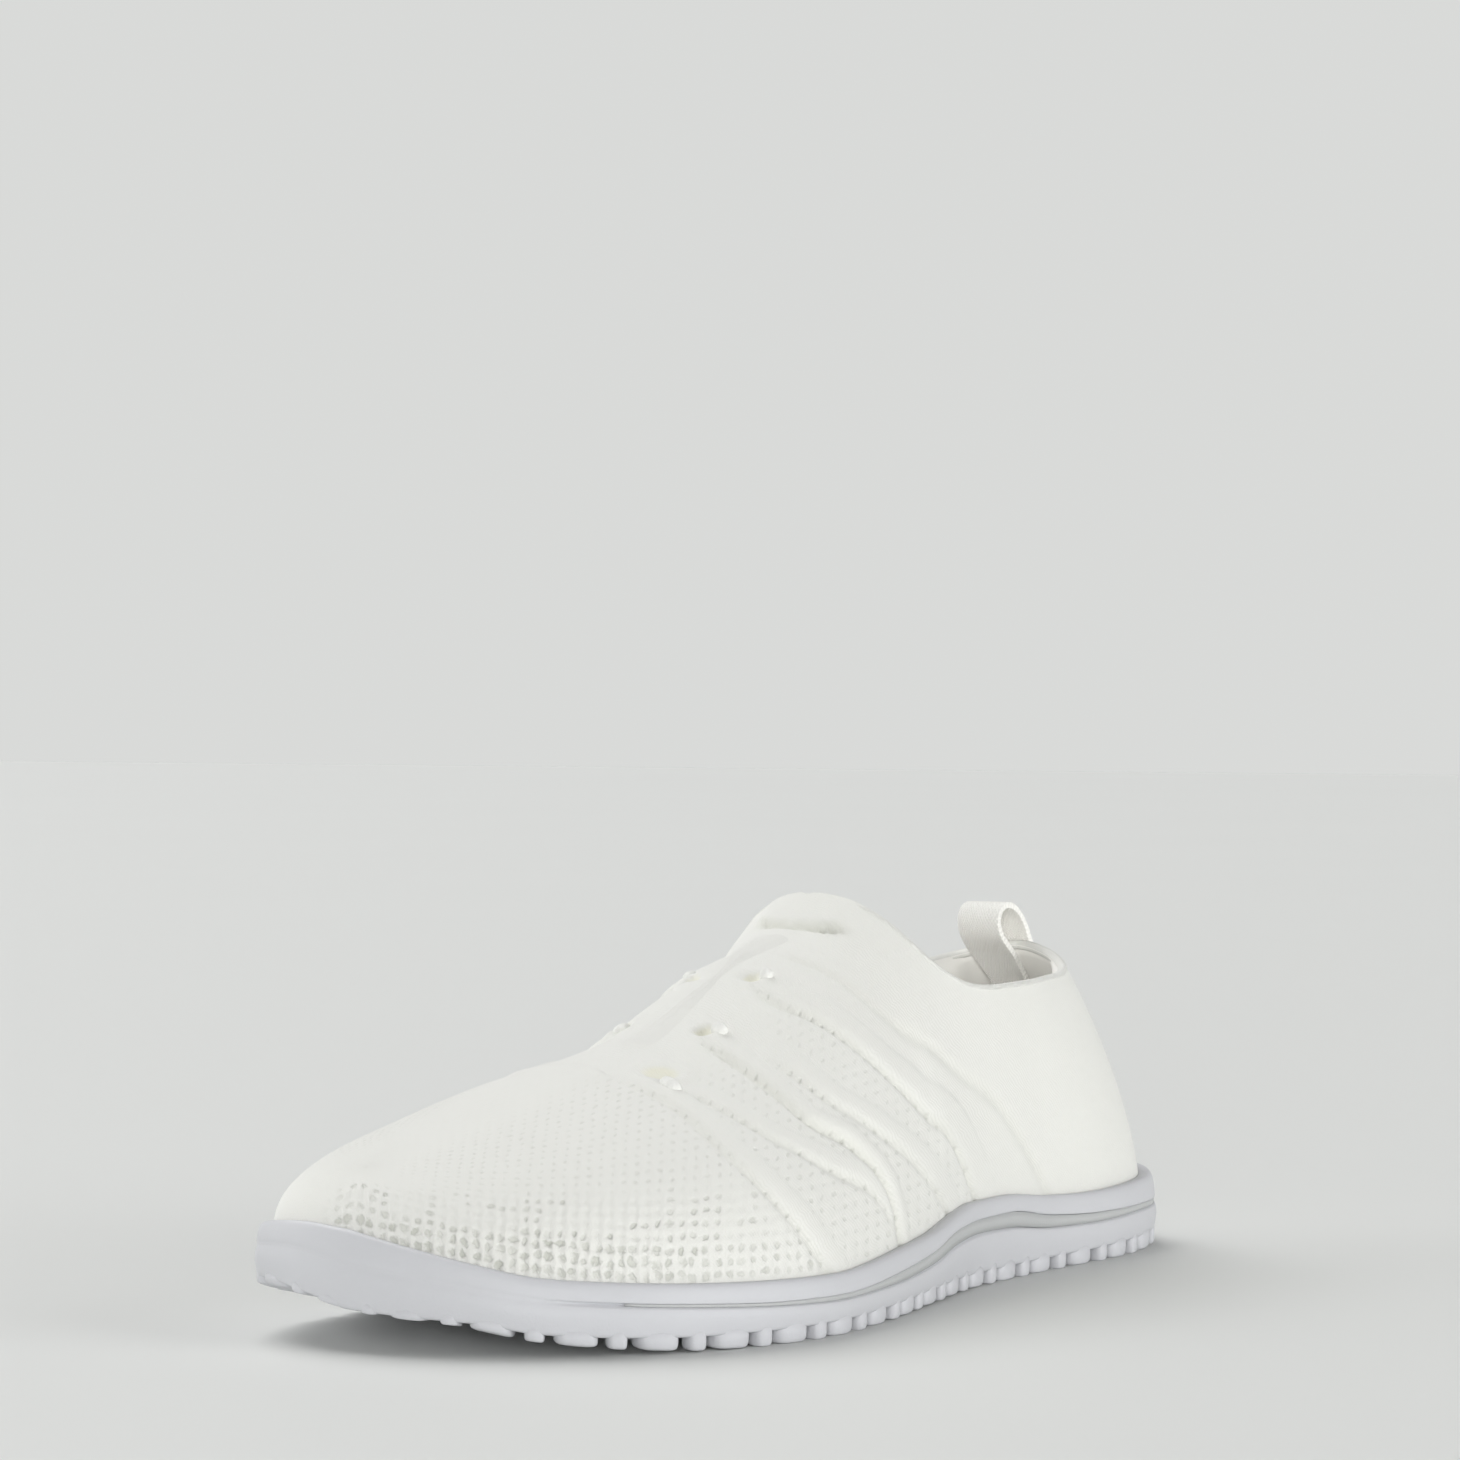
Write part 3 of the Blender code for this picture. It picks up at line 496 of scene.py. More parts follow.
# Form of the last, a row for each section from the heel round one side to the toe:
# share of the foot line, crest along, crest across, crest height, fullness low on the side, fullness high, bulge
LAST = (
    (0.000, 66.0, -4.0, 98.0, 0.30, 0.44, 1.2),
    (0.100, 74.0, -4.0, 98.0, 0.27, 0.41, 2.0),
    (0.200, 82.0, -3.0, 97.0, 0.36, 0.47, 2.9),
    (0.280, 91.0, -2.0, 95.0, 0.51, 0.60, 3.9),
    (0.350, 100.0, -1.5, 91.0, 0.55, 0.67, 4.7),
    (0.400, 108.0, -1.0, 86.0, 0.51, 0.69, 5.2),
    (0.452, 117.0, -1.0, 79.5, 0.48, 0.70, 5.4),
    (0.474, 125.0, -1.0, 73.4, 0.47, 0.66, 4.8),
    (0.497, 132.0, 0.0, 70.6, 0.47, 0.61, 4.2),
    (0.538, 146.0, 1.0, 67.4, 0.47, 0.58, 3.2),
    (0.587, 162.0, 1.0, 61.3, 0.48, 0.55, 2.0),
    (0.628, 177.0, 0.0, 54.2, 0.51, 0.55, 2.0),
    (0.673, 191.0, -2.0, 50.3, 0.55, 0.57, 2.0),
    (0.731, 208.0, -5.0, 47.0, 0.60, 0.60, 2.0),
    (0.795, 225.0, -8.0, 42.0, 0.66, 0.62, 2.0),
    (0.859, 240.0, -11.0, 37.5, 0.66, 0.62, 2.0),
    (0.970, 250.8, -13.0, 33.1, 0.57, 0.60, 1.1),
    (1.000, 251.0, -13.0, 33.0, 0.56, 0.60, 1.0),
)
# Collar seen from the side: along, height
COLLAR = (
    (-10.0, 66.4), (22.0, 66.4), (26.0, 65.9), (30.0, 64.7), (35.0, 63.2), (41.0, 61.9), (50.0, 60.9), (62.0, 60.5),
    (75.0, 60.2), (88.0, 60.1), (96.0, 60.4), (102.0, 61.3), (106.0, 62.8), (111.0, 66.0), (114.0, 69.8),
    (116.0, 75.0), (117.0, 79.5),
)
COLLAR_SHARE = 0.452
REAR_STEPS, FRONT_STEPS, RISE_STEPS = ((160, 190, 104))
# The lining keeps every fourth row of the face; open edges below this height, in metres, are the foot's
LINING_STRIDE, FOOT_TOP = 4, 0.04
# Padding inside the collar: thickness, height of the wall, where it starts and ends below the edge and along the side
COLLAR_PADDING, COLLAR_WALL = 4.0, 60.0
PADDING_TOP, PADDING_FOOT, PADDING_REAR, PADDING_FRONT = (0.0, 5.0), (7.0, 24.0), (0.06, 0.10), (0.40, COLLAR_SHARE)
# Knit lines on each side: a row for each height on the last, with the share of the foot line where each line runs
KNIT_LINES = (
    (0.00, 0.655, 0.548, 0.543, 0.425, 0.372, 0.262),
    (0.07, 0.674, 0.556, 0.551, 0.445, 0.390, 0.286),
    (0.20, 0.697, 0.584, 0.564, 0.497, 0.432, 0.348),
    (0.35, 0.715, 0.640, 0.596, 0.560, 0.487, 0.422),
    (0.50, 0.723, 0.677, 0.627, 0.598, 0.528, 0.467),
    (0.65, 0.717, 0.690, 0.632, 0.609, 0.552, 0.493),
    (0.80, 0.712, 0.694, 0.629, 0.614, 0.569, 0.509),
    (0.94, 0.704, 0.690, 0.620, 0.610, 0.562, 0.524),
)
# Each line from toe to heel: groove depth and half breadth, breadth of the smooth strip behind it, its raise,
# hole strength, top rise
LINE_FORM = (
    (0.60, 1.2, 7.0, 0.50, 0.50, 0.82),
    (0.55, 1.1, 6.5, 0.45, 0.50, 0.70),
    (1.00, 1.3, 5.4, 0.65, 0.66, 0.84),
    (0.55, 1.1, 6.5, 0.45, 0.50, 0.66),
    (0.80, 1.2, 9.0, 0.55, 0.60, 0.86),
    (0.55, 1.8, 3.0, 0.10, 0.06, 0.90),
)
# Open knit behind the strips: hole strength of each patch, from toe to heel
PATCHES = (0.27, 0.24, 0.24, 0.20)
# Lower edge of the cuff over the instep: rise, share of the foot line
CUFF = ((0.80, 0.458), (0.86, 0.464), (0.92, 0.470), (1.00, 0.474))
CUFF_RAISE, CUFF_GROOVE = 1.1, 1.2
# Front end of the throat, where the vamp's edge lies over the instep panel: rise, share of the foot line
LIP = ((0.80, 0.722), (0.87, 0.711), (0.94, 0.698), (1.00, 0.690))
LIP_RAISE, LIP_GROOVE = 0.8, 0.7
FOOT_LINE = 330.0
# Eyelets: side, share, rise, radius
EYELETS = (
    (1, 0.680, 0.817, 3.8), (1, 0.617, 0.870, 2.0), (1, 0.558, 0.897, 2.0),
    (-1, 0.684, 0.735, 3.2), (-1, 0.618, 0.835, 2.0), (-1, 0.566, 0.900, 1.8),
)
EYELET_DEPTH, EYELET_RAISE = 0.9, 0.4
# Knit cells: breadth along the direction that the wales face, height up the side
CELL_BREADTH, CELL_HEIGHT = 2.2, 2.5
WALE_ACROSS, WALE_ALONG = 0.834, 0.552
# Bands over which the knit changes. By share of the foot line:
HEEL_SEAM, TOE_SEAM, TOE_TURN, TOE_CLIMB = (0.0, 0.02), (0.98, 1.0), (0.86, 1.0), (0.88, 1.0)
BALL, BIG_TOE, TIP, VAMP_END = (0.72, 0.82), (0.86, 0.91), (0.965, 0.995), (0.88, 0.96)
# By rise on the last:
CREST, VAMP_TOP, PATCH_TOP, STRIP_FOOT = (0.95, 1.0), (0.80, 0.93), (0.68, 0.80), (0.08, 0.40)
CUFF_SIDE, LIP_SIDE = (0.80, 0.88), (0.84, 0.92)
# By height over the rim, which covers the lowest part of the knit:
COVERED = 7.0
LOWEST, LOW_SIZE, LOW_HOLES, LOW_RUNS = (4.0, 8.0), (12.0, 19.0), (13.0, 20.0), (15.0, 20.0)
# Rounding of the instep and the toe: number of passes, reach on both sides of the middle line
EASE_PASSES, INSTEP_EASE, TOE_EASE = 36, (0.03, 0.10), (0.03, 0.09)


def last_point(side, share, rise):
    """Points of the last: share of the way from heel to toe, rise from 0 at the foot line to 1 at the crest."""
    share, rise = np.broadcast_arrays(share, rise)
    along, across, height, low_full, high_full, bulge = (smooth(share, LAST, k) for k in range(1, 7))
    ahead, behind = np.minimum(share + 0.01, 1.0), np.maximum(share - 0.01, 0.0)
    fall = np.divide(*(smooth(ahead, LAST, k) - smooth(behind, LAST, k) for k in (3, 1)))
    spots = half_edge(side, RIM + GAP, share)
    foot = np.stack([spots[..., 0], spots[..., 1], side_height(share, BED, side) + GAP], -1)
    crest = np.stack([across, along, height], -1)
    out = (foot - crest) * (1.0, 1.0, 0.0)
    swell = unit(out) * bulge[..., None]
    low_handle = foot + swell
    low_handle[..., 2] += (height - foot[..., 2]) * low_full
    foot = foot - swell * TUCK
    high_handle = crest + out * high_full[..., None]
    high_handle[..., 2] += out[..., 1] * high_full * fall
    b = rise[..., None]
    a = 1.0 - b
    return a**3 * foot + 3 * a * a * b * low_handle + 3 * a * b * b * high_handle + b**3 * crest


def last_slopes(side, share, rise):
    """How far the last's points move along and up for a step of share or rise."""
    step = 0.004
    ahead, behind = np.minimum(share + step, 1.0), np.maximum(share - step, 0.0)
    above, below = np.minimum(rise + step, 1.0), np.maximum(rise - step, 0.0)
    along = (last_point(side, ahead, rise) - last_point(side, behind, rise)) / (ahead - behind)[..., None]
    up = (last_point(side, share, above) - last_point(side, share, below)) / (above - below)[..., None]
    return along, up


def upper_normal(side, share, rise):
    """Ways straight out of the upper's outer face."""
    return unit(np.cross(*last_slopes(side, share, rise)) * side)


def upper_point(side, share, rise, offset):
    """Points of the upper's outer face, moved out from it by an offset."""
    share, rise = np.broadcast_arrays(share, rise)
    return last_point(side, share, rise) + upper_normal(side, share, rise) * np.asarray(offset, float)[..., None]


def soft_step(low, high, value):
    t = np.clip((value - low) / (high - low), 0.0, 1.0)
    return t * t * (3 - 2 * t)


def soft_fall(low, high, value):
    return 1.0 - soft_step(low, high, value)


def bell(value, half):
    return np.exp(-(value / half) ** 2)


def collar_rise(side, shares):
    """Rise on the last where each section reaches the collar, or the crest in front of it."""
    rises = np.linspace(0.0, 1.0, 801)
    points = last_point(side, shares[:, None], rises[None, :])
    above = points[..., 2] - smooth(points[..., 1], COLLAR)
    above = np.where(points[..., 1] > COLLAR[-1][0] + 0.4, -1.0, above)
    tops = np.ones(len(shares))
    for i, line in enumerate(above):
        over = np.flatnonzero(line >= 0.0)
        if shares[i] < COLLAR_SHARE and len(over) and over[0] > 0:
            k = over[0]
            tops[i] = rises[k - 1] + (rises[k] - rises[k - 1]) * line[k - 1] / (line[k - 1] - line[k])
    return tops


def upper_shares():
    """Sections of the upper: closer where the collar climbs its arch, then even steps to the toe."""
    rear = np.linspace(0.0, COLLAR_SHARE, 400)
    far = sum(distances(last_point(1, rear, rise)) for rise in (collar_rise(1, rear), np.zeros(400)))
    rear = np.interp(np.linspace(0.0, far[-1], REAR_STEPS + 1), far, rear)
    return np.concatenate([rear, np.linspace(COLLAR_SHARE, 1.0, FRONT_STEPS + 1)[1:]])


def line_distance(side, share, rise, number):
    """Distance from a knit line, in millimetres, positive towards the toe."""
    line, line_above, line_below = (smooth(rise + step, KNIT_LINES, number) for step in (0.0, 0.01, -0.01))
    along, up = last_slopes(side, share, rise)
    run = up + along * ((line_above - line_below) / 0.02)[..., None]
    return (share - line) * (norm(np.cross(along, run)) / norm(run))


def knit_marks(side, share, rise, points, girth=None):
    """Relief of the knit in millimetres and the marks that its finish reads, painted shade in the grooves, under the
    cuff and in the eyelets among them.
    """
    height = distances(points)
    if girth is not None:
        height = height * girth / height[-1]
    seam = smooth(points[..., 1], LAST, 2, 1)
    seam = seam + (points[:, -1:, 0] - seam) * soft_step(*TOE_TURN, share)
    across = points[..., 0] if side > 0 else 2 * seam - points[..., 0]
    wale = across * WALE_ACROSS - points[..., 1] * WALE_ALONG
    wale = wale - wale[:, -1:]
    cells = np.stack([wale / CELL_BREADTH, height / CELL_HEIGHT, np.zeros_like(wale)], -1)
    rim_height = (height - COVERED) * (1.0 + 0.6 * soft_step(*TOE_CLIMB, share))

    lines = [line_distance(side, share, rise, k) for k in range(1, 7)]
    front = soft_step(0.2, 1.2, lines[0])
    lowest = soft_fall(*LOWEST, rim_height)
    ball = soft_step(*BALL, share)
    tip = 1.0 if side > 0 else 1.0 - soft_step(*BIG_TOE, share) * soft_fall(*TIP, share)
    runs = front * soft_fall(*LOW_RUNS, rim_height) * (1.0 - 0.75 * lowest)
    size = front * (0.45 * soft_fall(*LOW_SIZE, rim_height) + 0.55 * lowest * ball)
    vamp = front * soft_fall(*VAMP_TOP, rise) * soft_fall(*VAMP_END, share)
    low_holes = front * soft_fall(*LOW_HOLES, rim_height) * (0.58 + 0.24 * lowest)
    holes = np.maximum(low_holes * (0.7 + 0.3 * ball), vamp * 0.26) * tip
    relief, groove_shade, eyelet = (np.zeros_like(rise) for _ in range(3))
    for k, (depth, half, breadth, raised, strength, top) in enumerate(LINE_FORM):
        line = lines[k]
        room = np.clip((lines[k + 1] - line) / breadth, 0.05, 1.0) if k + 1 < len(lines) else 1.0
        raised = raised * room * (0.35 + 0.65 * soft_step(*STRIP_FOOT, rise))
        depth = depth * room * bell(line, half)
        fade = soft_fall(top - 0.06, top + 0.04, rise)
        strip = np.sin(np.clip(-line / (breadth * room), 0.0, 1.0) * math.pi) ** 0.4
        relief += fade * (strip * raised - depth)
        holes = np.maximum(holes, fade * strength * bell(line, 0.75))
        # Painted shade in each groove, as strong as the groove is deep.
        groove_shade = np.maximum(groove_shade, fade * depth)
    for k, strength in enumerate(PATCHES):
        breadth = LINE_FORM[k][2]
        patch = soft_step(breadth * 0.85, breadth + 1.0, -lines[k]) * soft_step(0.3, 1.3, lines[k + 1])
        holes = np.maximum(holes, patch * soft_fall(*PATCH_TOP, rise) * strength)
    for eyelet_side, eyelet_share, eyelet_rise, radius in EYELETS:
        if eyelet_side == side:
            far = norm(points - last_point(side, eyelet_share, eyelet_rise))
            relief -= EYELET_DEPTH * soft_fall(radius * 0.5, radius * 1.15, far)
            relief += EYELET_RAISE * bell(far - radius * 1.5, 1.0)
            # Painted shade inside the eyelet hole.
            eyelet = np.maximum(eyelet, soft_fall(radius * 0.7, radius * 1.05, far))
    plain = soft_step(*HEEL_SEAM, share) * soft_fall(*CREST, rise)
    cuff = (share - smooth(rise, CUFF)) * FOOT_LINE
    cuff_fade = soft_step(*CUFF_SIDE, rise)
    cuff_form = CUFF_RAISE * np.exp(np.minimum(cuff, 0.0) / 5.0) * soft_fall(-0.6, 0.6, cuff)
    cuff_form -= CUFF_GROOVE * bell(cuff - 0.5, 0.55)
    # Painted shadow in the crease under the cuff's lower edge.
    groove_shade = np.maximum(groove_shade, 2.2 * cuff_fade * bell(cuff - 0.4, 0.8))
    lip = (share - smooth(rise, LIP)) * FOOT_LINE
    lip_form = LIP_RAISE * np.exp(-np.maximum(lip, 0.0) / 7.0) * soft_step(-0.8, 0.8, lip)
    lip_form = (lip_form - LIP_GROOVE * bell(lip + 0.8, 1.2)) * soft_step(*LIP_SIDE, rise)
    marks = {"knit": cells, "holes": holes * plain, "runs": runs, "size": size, "groove_shade": groove_shade, "eyelet": eyelet}
    return relief * plain * soft_fall(*TOE_SEAM, share) + cuff_form * cuff_fade + lip_form, marks


# Knit: holes in rows and columns or in short runs, soft wales between them and fine stitches
RUN_UP, RUN_ALONG = 4.0, 3.0
knit, knit_in, knit_out = new_group(
    "knit_pattern",
    (("Cells", "Vector", (0.0, 0.0, 0.0)), ("Holes", "Float", 0.5), ("Runs", "Float", 0.0), ("Size", "Float", 0.0)),
    (("Hole", "Float"), ("Height", "Float")))


def op(operation, *values):
    """A sum within the knit's pattern."""
    return calc(knit, operation, *values)


def times(first, second):
    return op("MULTIPLY", first, second)


def chance(column, row, seed):
    """A number from 0 to 1 that stays the same over one cell."""
    corner = add(knit, "CombineXYZ", {0: column, 1: row, 2: seed}).outputs[0]
    return add(knit, "TexWhiteNoise", {"Vector": corner}, noise_dimensions="3D").outputs["Value"]


wobble = noise(knit, knit_in["Cells"], 0.9, 1.0)["Color"]
wobble = add(knit, "VectorMath", {0: wobble, 1: (0.5, 0.5, 0.5)}, operation="SUBTRACT").outputs[0]
wobble = add(knit, "VectorMath", {0: wobble, "Scale": 0.5}, operation="SCALE").outputs[0]
loose = add(knit, "VectorMath", {0: knit_in["Cells"], 1: wobble}, operation="ADD").outputs[0]
cell = add(knit, "SeparateXYZ", {0: loose}).outputs
column, row = (op("FLOOR", cell[k]) for k in (0, 1))
beside, above = (op("SUBTRACT", op("FRACT", cell[k]), 0.5) for k in (0, 1))
shift = [times(op("SUBTRACT", chance(column, row, seed), 0.5), times(knit_in["Size"], 0.34))
         for seed in (11.0, 13.0)]
uneven = op("MULTIPLY_ADD", chance(column, row, 3.0), 0.6, 0.7)
reach = times(op("MULTIPLY_ADD", knit_in["Size"], 0.15, 0.19), uneven)
reach_up = op("MULTIPLY_ADD", knit_in["Size"], 0.12, 0.22)
hole_side = op("DIVIDE", op("ADD", beside, shift[0]), reach)
hole_up = op("DIVIDE", op("ADD", above, shift[1]), reach_up)
hole_far = op("SQRT", op("ADD", *(op("POWER", op("ABSOLUTE", way), 2.0) for way in (hole_side, hole_up))))
ragged = noise(knit, knit_in["Cells"], 2.6, 1.0)[0]
ragged = times(op("SUBTRACT", ragged, 0.5), op("MULTIPLY_ADD", knit_in["Size"], 1.3, 0.4))
hole_far = op("ADD", hole_far, ragged)
depth_chance = op("MULTIPLY_ADD", chance(column, row, 17.0), 0.5, 0.5)
single = times(ramp(knit, hole_far, 0.40, 1.30, 1.0, 0.0), depth_chance)
# Short runs: some cells stand in a run up their column, some in a run along their row
column_start = times(chance(column, 0.0, 1.0), RUN_UP)
row_start = times(chance(0.0, row, 2.0), RUN_ALONG)
upright = op("FLOOR", op("DIVIDE", op("ADD", row, column_start), RUN_UP))
level_run = op("FLOOR", op("DIVIDE", op("ADD", column, row_start), RUN_ALONG))
in_upright = op("LESS_THAN", chance(column, upright, 5.0), 0.30)
in_level = op("LESS_THAN", chance(level_run, row, 7.0), 0.16)
in_run = op("MAXIMUM", in_upright, in_level)
left_out = times(op("SUBTRACT", 1.0, in_run), knit_in["Runs"])
shown = op("SUBTRACT", 1.0, times(left_out, 0.85))
hole = times(times(single, shown), knit_in["Holes"])
wale = op("COSINE", times(beside, math.tau))
stitch_side = op("SINE", times(cell[0], math.tau * 4.0))
stitch_up = op("SINE", times(cell[1], math.tau * 3.0))
stitches = times(times(stitch_side, stitch_up), 0.05)
course = op("COSINE", times(above, math.tau))
waffle = times(op("MULTIPLY_ADD", course, 0.45, wale), op("MULTIPLY_ADD", knit_in["Holes"], -0.26, -0.012))
wale_height = op("ADD", waffle, stitches)
knit.links.new(hole, knit_out["Hole"])
knit.links.new(op("SUBTRACT", wale_height, hole), knit_out["Height"])

white_knit, knit_tree, knit_shader = new_finish("white_knit", (0.86, 0.86, 0.83), 0.85, Sheen_Weight=0.15,
                                                Sheen_Roughness=0.5, Specular_IOR_Level=0.25)
marks = {name: add(knit_tree, "Attribute", attribute_name=name).outputs["Vector" if name == "knit" else "Fac"]
         for name in ("knit", "holes", "runs", "size", "groove_shade", "eyelet", "lining")}
pattern = add(knit_tree, "Group", {"Cells": marks["knit"], "Holes": marks["holes"], "Runs": marks["runs"],
                                   "Size": marks["size"]}, node_tree=knit).outputs
knit_cloud = noise(knit_tree, add(knit_tree, "TexCoord").outputs["Object"], 45.0, 3.0)[0]
yarn_colour = blend_colours(knit_tree, knit_cloud, (0.81, 0.81, 0.775), (0.79, 0.79, 0.75))
# Painted shade: the yarn turns grey olive in the grooves between the strips and in the crease under the cuff.
groove_shaded_colour = blend_colours(knit_tree, calc(knit_tree, "MULTIPLY", marks["groove_shade"], 0.25), yarn_colour,
                            (0.62, 0.63, 0.54))
# Painted shade inside the knit's holes: the yarn darkens to grey olive where the pattern opens a hole.
hole_shaded_colour = blend_colours(knit_tree, pattern["Hole"], groove_shaded_colour, (0.53, 0.54, 0.48))
# Yellowish painted shade inside the eyelet holes.
eyelet_colour = blend_colours(knit_tree, calc(knit_tree, "MULTIPLY", marks["eyelet"], 0.75), hole_shaded_colour,
                              (0.80, 0.79, 0.66))
# Painted light: the lining is a lighter copy of the outer yarn, standing in for light that comes through the thin
# knit wall.
use_colours(knit_tree, knit_shader, marks["lining"], eyelet_colour, (0.96, 0.95, 0.91))
use_bump(knit_tree, knit_shader, pattern["Height"], 0.6, 0.0008)


def middle_pull(count, reach):
    """How far the rows of two joined sheets are drawn to their neighbours, most along the line between the sheets."""
    return soft_fall(*reach, np.abs(np.arange(2 * count + 1) - count) / count)[1:-1] * 0.5


def ease_middle(outer, inner, front):
    """Rounds the line where both sides meet, over the instep and round the toe."""
    rows, columns = len(outer) - 1, len(shares) - 1
    over = middle_pull(rows, INSTEP_EASE)[:, None, None]
    round_toe = middle_pull(columns, TOE_EASE)[None, :, None]
    for _ in range(EASE_PASSES):
        sheet = there_and_back(outer[:, front], inner[:, front])
        sheet[1:-1] += over * ((sheet[:-2] + sheet[2:]) / 2 - sheet[1:-1])
        outer[:, front], inner[:, front] = sheet[:rows + 1], sheet[:rows - 1:-1]
        sheet = np.concatenate([outer, inner[:, -2::-1]], 1)
        sheet[:, 1:-1] += round_toe * ((sheet[:, :-2] + sheet[:, 2:]) / 2 - sheet[:, 1:-1])
        outer[:], inner[:] = sheet[:, :columns + 1], sheet[:, :columns - 1:-1]


shares = upper_shares()
upper_mesh = bmesh.new()
front = shares >= COLLAR_SHARE
seam_spots = ((slice(None), 0), (slice(None), -1), (-1, front))
faces, plain, knits, paddings = {}, {}, {}, {}
girth = None
for side in (1, -1):
    tops = collar_rise(side, shares)
    rise = np.linspace(0.0, 1.0, RISE_STEPS + 1)[:, None] * tops[None, :]
    share = np.broadcast_to(shares, rise.shape)
    plain[side] = last_point(side, share, rise)
    relief, knits[side] = knit_marks(side, share, rise, plain[side], girth)
    girth = knits[side]["knit"][-1, :, 1] * CELL_HEIGHT
    faces[side] = upper_point(side, share, rise, relief)
    below = (1.0 - rise / tops) * COLLAR_WALL
    padding = soft_step(*PADDING_TOP, below) * soft_fall(*PADDING_FOOT, below)
    paddings[side] = padding * soft_step(*PADDING_REAR, share) * soft_fall(*PADDING_FRONT, share)
for sheets in (faces, plain):
    for spots in seam_spots:
        sheets[1][spots] = sheets[-1][spots] = (sheets[1][spots] + sheets[-1][spots]) / 2
    ease_middle(sheets[1], sheets[-1], front)
# The lining lies inside the eased outer face, by the wall's thickness and the collar's padding
ways_out = {side: np.cross(np.gradient(plain[side], axis=1), np.gradient(plain[side], axis=0)) * side
            for side in (1, -1)}
for spots in seam_spots:
    ways_out[1][spots] = ways_out[-1][spots] = ways_out[1][spots] + ways_out[-1][spots]
for side in (1, -1):
    ways_out[side][-1, -1] = ways_out[side][-2, -1]
    lining = faces[side] - unit(ways_out[side]) * (WALL + COLLAR_PADDING * paddings[side])[..., None]
    lay_grid(faces[side], knits[side], upper_mesh)
    lining_marks = {name: values[::LINING_STRIDE] * 0.0 for name, values in knits[side].items()}
    lining_marks["lining"] = np.ones_like(lining[::LINING_STRIDE, :, 0])
    lay_grid(lining[::LINING_STRIDE], lining_marks, upper_mesh)
bmesh.ops.remove_doubles(upper_mesh, verts=upper_mesh.verts, dist=2e-6)
open_edges = [e for e in upper_mesh.edges if e.is_boundary]
for at_foot in (True, False):
    bridged = [e for e in open_edges if (e.verts[0].co.z < FOOT_TOP) == at_foot]
    bmesh.ops.bridge_loops(upper_mesh, edges=bridged)
finish_piece("knit_upper", upper_mesh, white_knit, "knit", "upper", merge=1e-7)

# Collar binding. A soft rolled edge of the same knit, turned over the top of the wall all round the opening.
# It is knitted on with the shell and sits half sunk on the wall's edge.
BINDING_ROUND = 12
BINDING_THICK, BINDING_HIGH, BINDING_SINK = 1.2, 0.9, 0.6
BINDING_WALE, BINDING_COURSE = 1.6, 0.5
binding_shares = shares[shares <= COLLAR_SHARE]


def collar_line(side):
    """Collar points in the middle of the wall, with the way out of the wall at each."""
    rises = collar_rise(side, binding_shares)
    out = upper_normal(side, binding_shares, rises)
    return last_point(side, binding_shares, rises) - out * WALL / 2, out


def round_rows(middle, out, up, count):
    """Rows of points round a line, by its ways out and up."""
    turn = np.linspace(0.0, math.tau, count + 1)[:, None, None]
    return middle + out * np.cos(turn) + up * np.sin(turn)


def cell_marks(along, across):
    """Knit cells of a grid, from the places along its rows and across them."""
    return {"knit": np.stack(np.broadcast_arrays(along, across, 0.0), -1)}


collar_points, collar_out = (there_and_back(*pair) for pair in zip(collar_line(1), collar_line(-1)))
collar_run = np.roll(collar_points[:-1], -1, 0) - np.roll(collar_points[:-1], 1, 0)
collar_up = unit(np.cross(collar_out, np.concatenate([collar_run, collar_run[:1]])))
binding_mesh = lay_grid(
    round_rows(collar_points - collar_up * BINDING_SINK, collar_out * BINDING_THICK, collar_up * BINDING_HIGH,
               BINDING_ROUND),
    cell_marks(distances(collar_points) / BINDING_WALE, np.arange(BINDING_ROUND + 1)[:, None] * BINDING_COURSE))
finish_piece("collar_binding", binding_mesh, white_knit, "knit")

# Instep panel. A padded knit flap along the crest of the instep, under the eyelets, sewn down at its front end.
# Its edges are thinned off into the knit round it.
PANEL_SINK = 0.5
PANEL_CREST = 0.97
PANEL_WIDTH, PANEL_WALE, PANEL_COURSE = 30.0, 1.6, 1.2
PANEL_SIDE_EASE, PANEL_FRONT_EASE, PANEL_REAR_EASE = 9.0, 8.0, 5.0
PANEL_SHARES, PANEL_ACROSS = 60, 48
# Share of the foot line, rise of the outer edge, rise of the inner edge, lift of the inner edge, thickness
PANEL = (
    (0.481, 0.900, 0.840, 0.5, 0.3),
    (0.490, 0.900, 0.845, 0.5, 0.4),
    (0.512, 0.910, 0.855, 0.4, 0.5),
    (0.538, 0.920, 0.890, 0.2, 0.6),
    (0.560, 0.925, 0.925, 0.1, 0.6),
    (0.590, 0.905, 0.900, 0.0, 0.5),
    (0.618, 0.895, 0.890, 0.0, 0.5),
    (0.645, 0.880, 0.880, 0.0, 0.4),
    (0.668, 0.880, 0.880, 0.0, 0.3),
)


def eased_point(side, share, rise, offset):
    """Points of the upper's rounded outer face in front of the collar, moved out from it by an offset."""
    sheet = faces[side]
    row, column = rise * RISE_STEPS, np.interp(share, shares, range(len(shares)))
    i, k = np.minimum(row.astype(int), RISE_STEPS - 1), np.minimum(column.astype(int), len(shares) - 2)
    a, b = (row - i)[..., None], (column - k)[..., None]
    spots = sum(p * q * sheet[i + m, k + n] for m, p in ((0, 1 - a), (1, a)) for n, q in ((0, 1 - b), (1, b)))
    return spots + upper_normal(side, share, np.minimum(rise, PANEL_CREST)) * np.asarray(offset)[..., None]


def panel_layer(outer_lift, inner_lift):
    """One face of the panel from its outer edge over the crest to its inner edge."""
    return there_and_back(eased_point(1, panel_share, outer_rise, curl_outer - PANEL_SINK + outer_lift),
                          eased_point(-1, panel_share, inner_rise, curl_inner - PANEL_SINK + inner_lift))


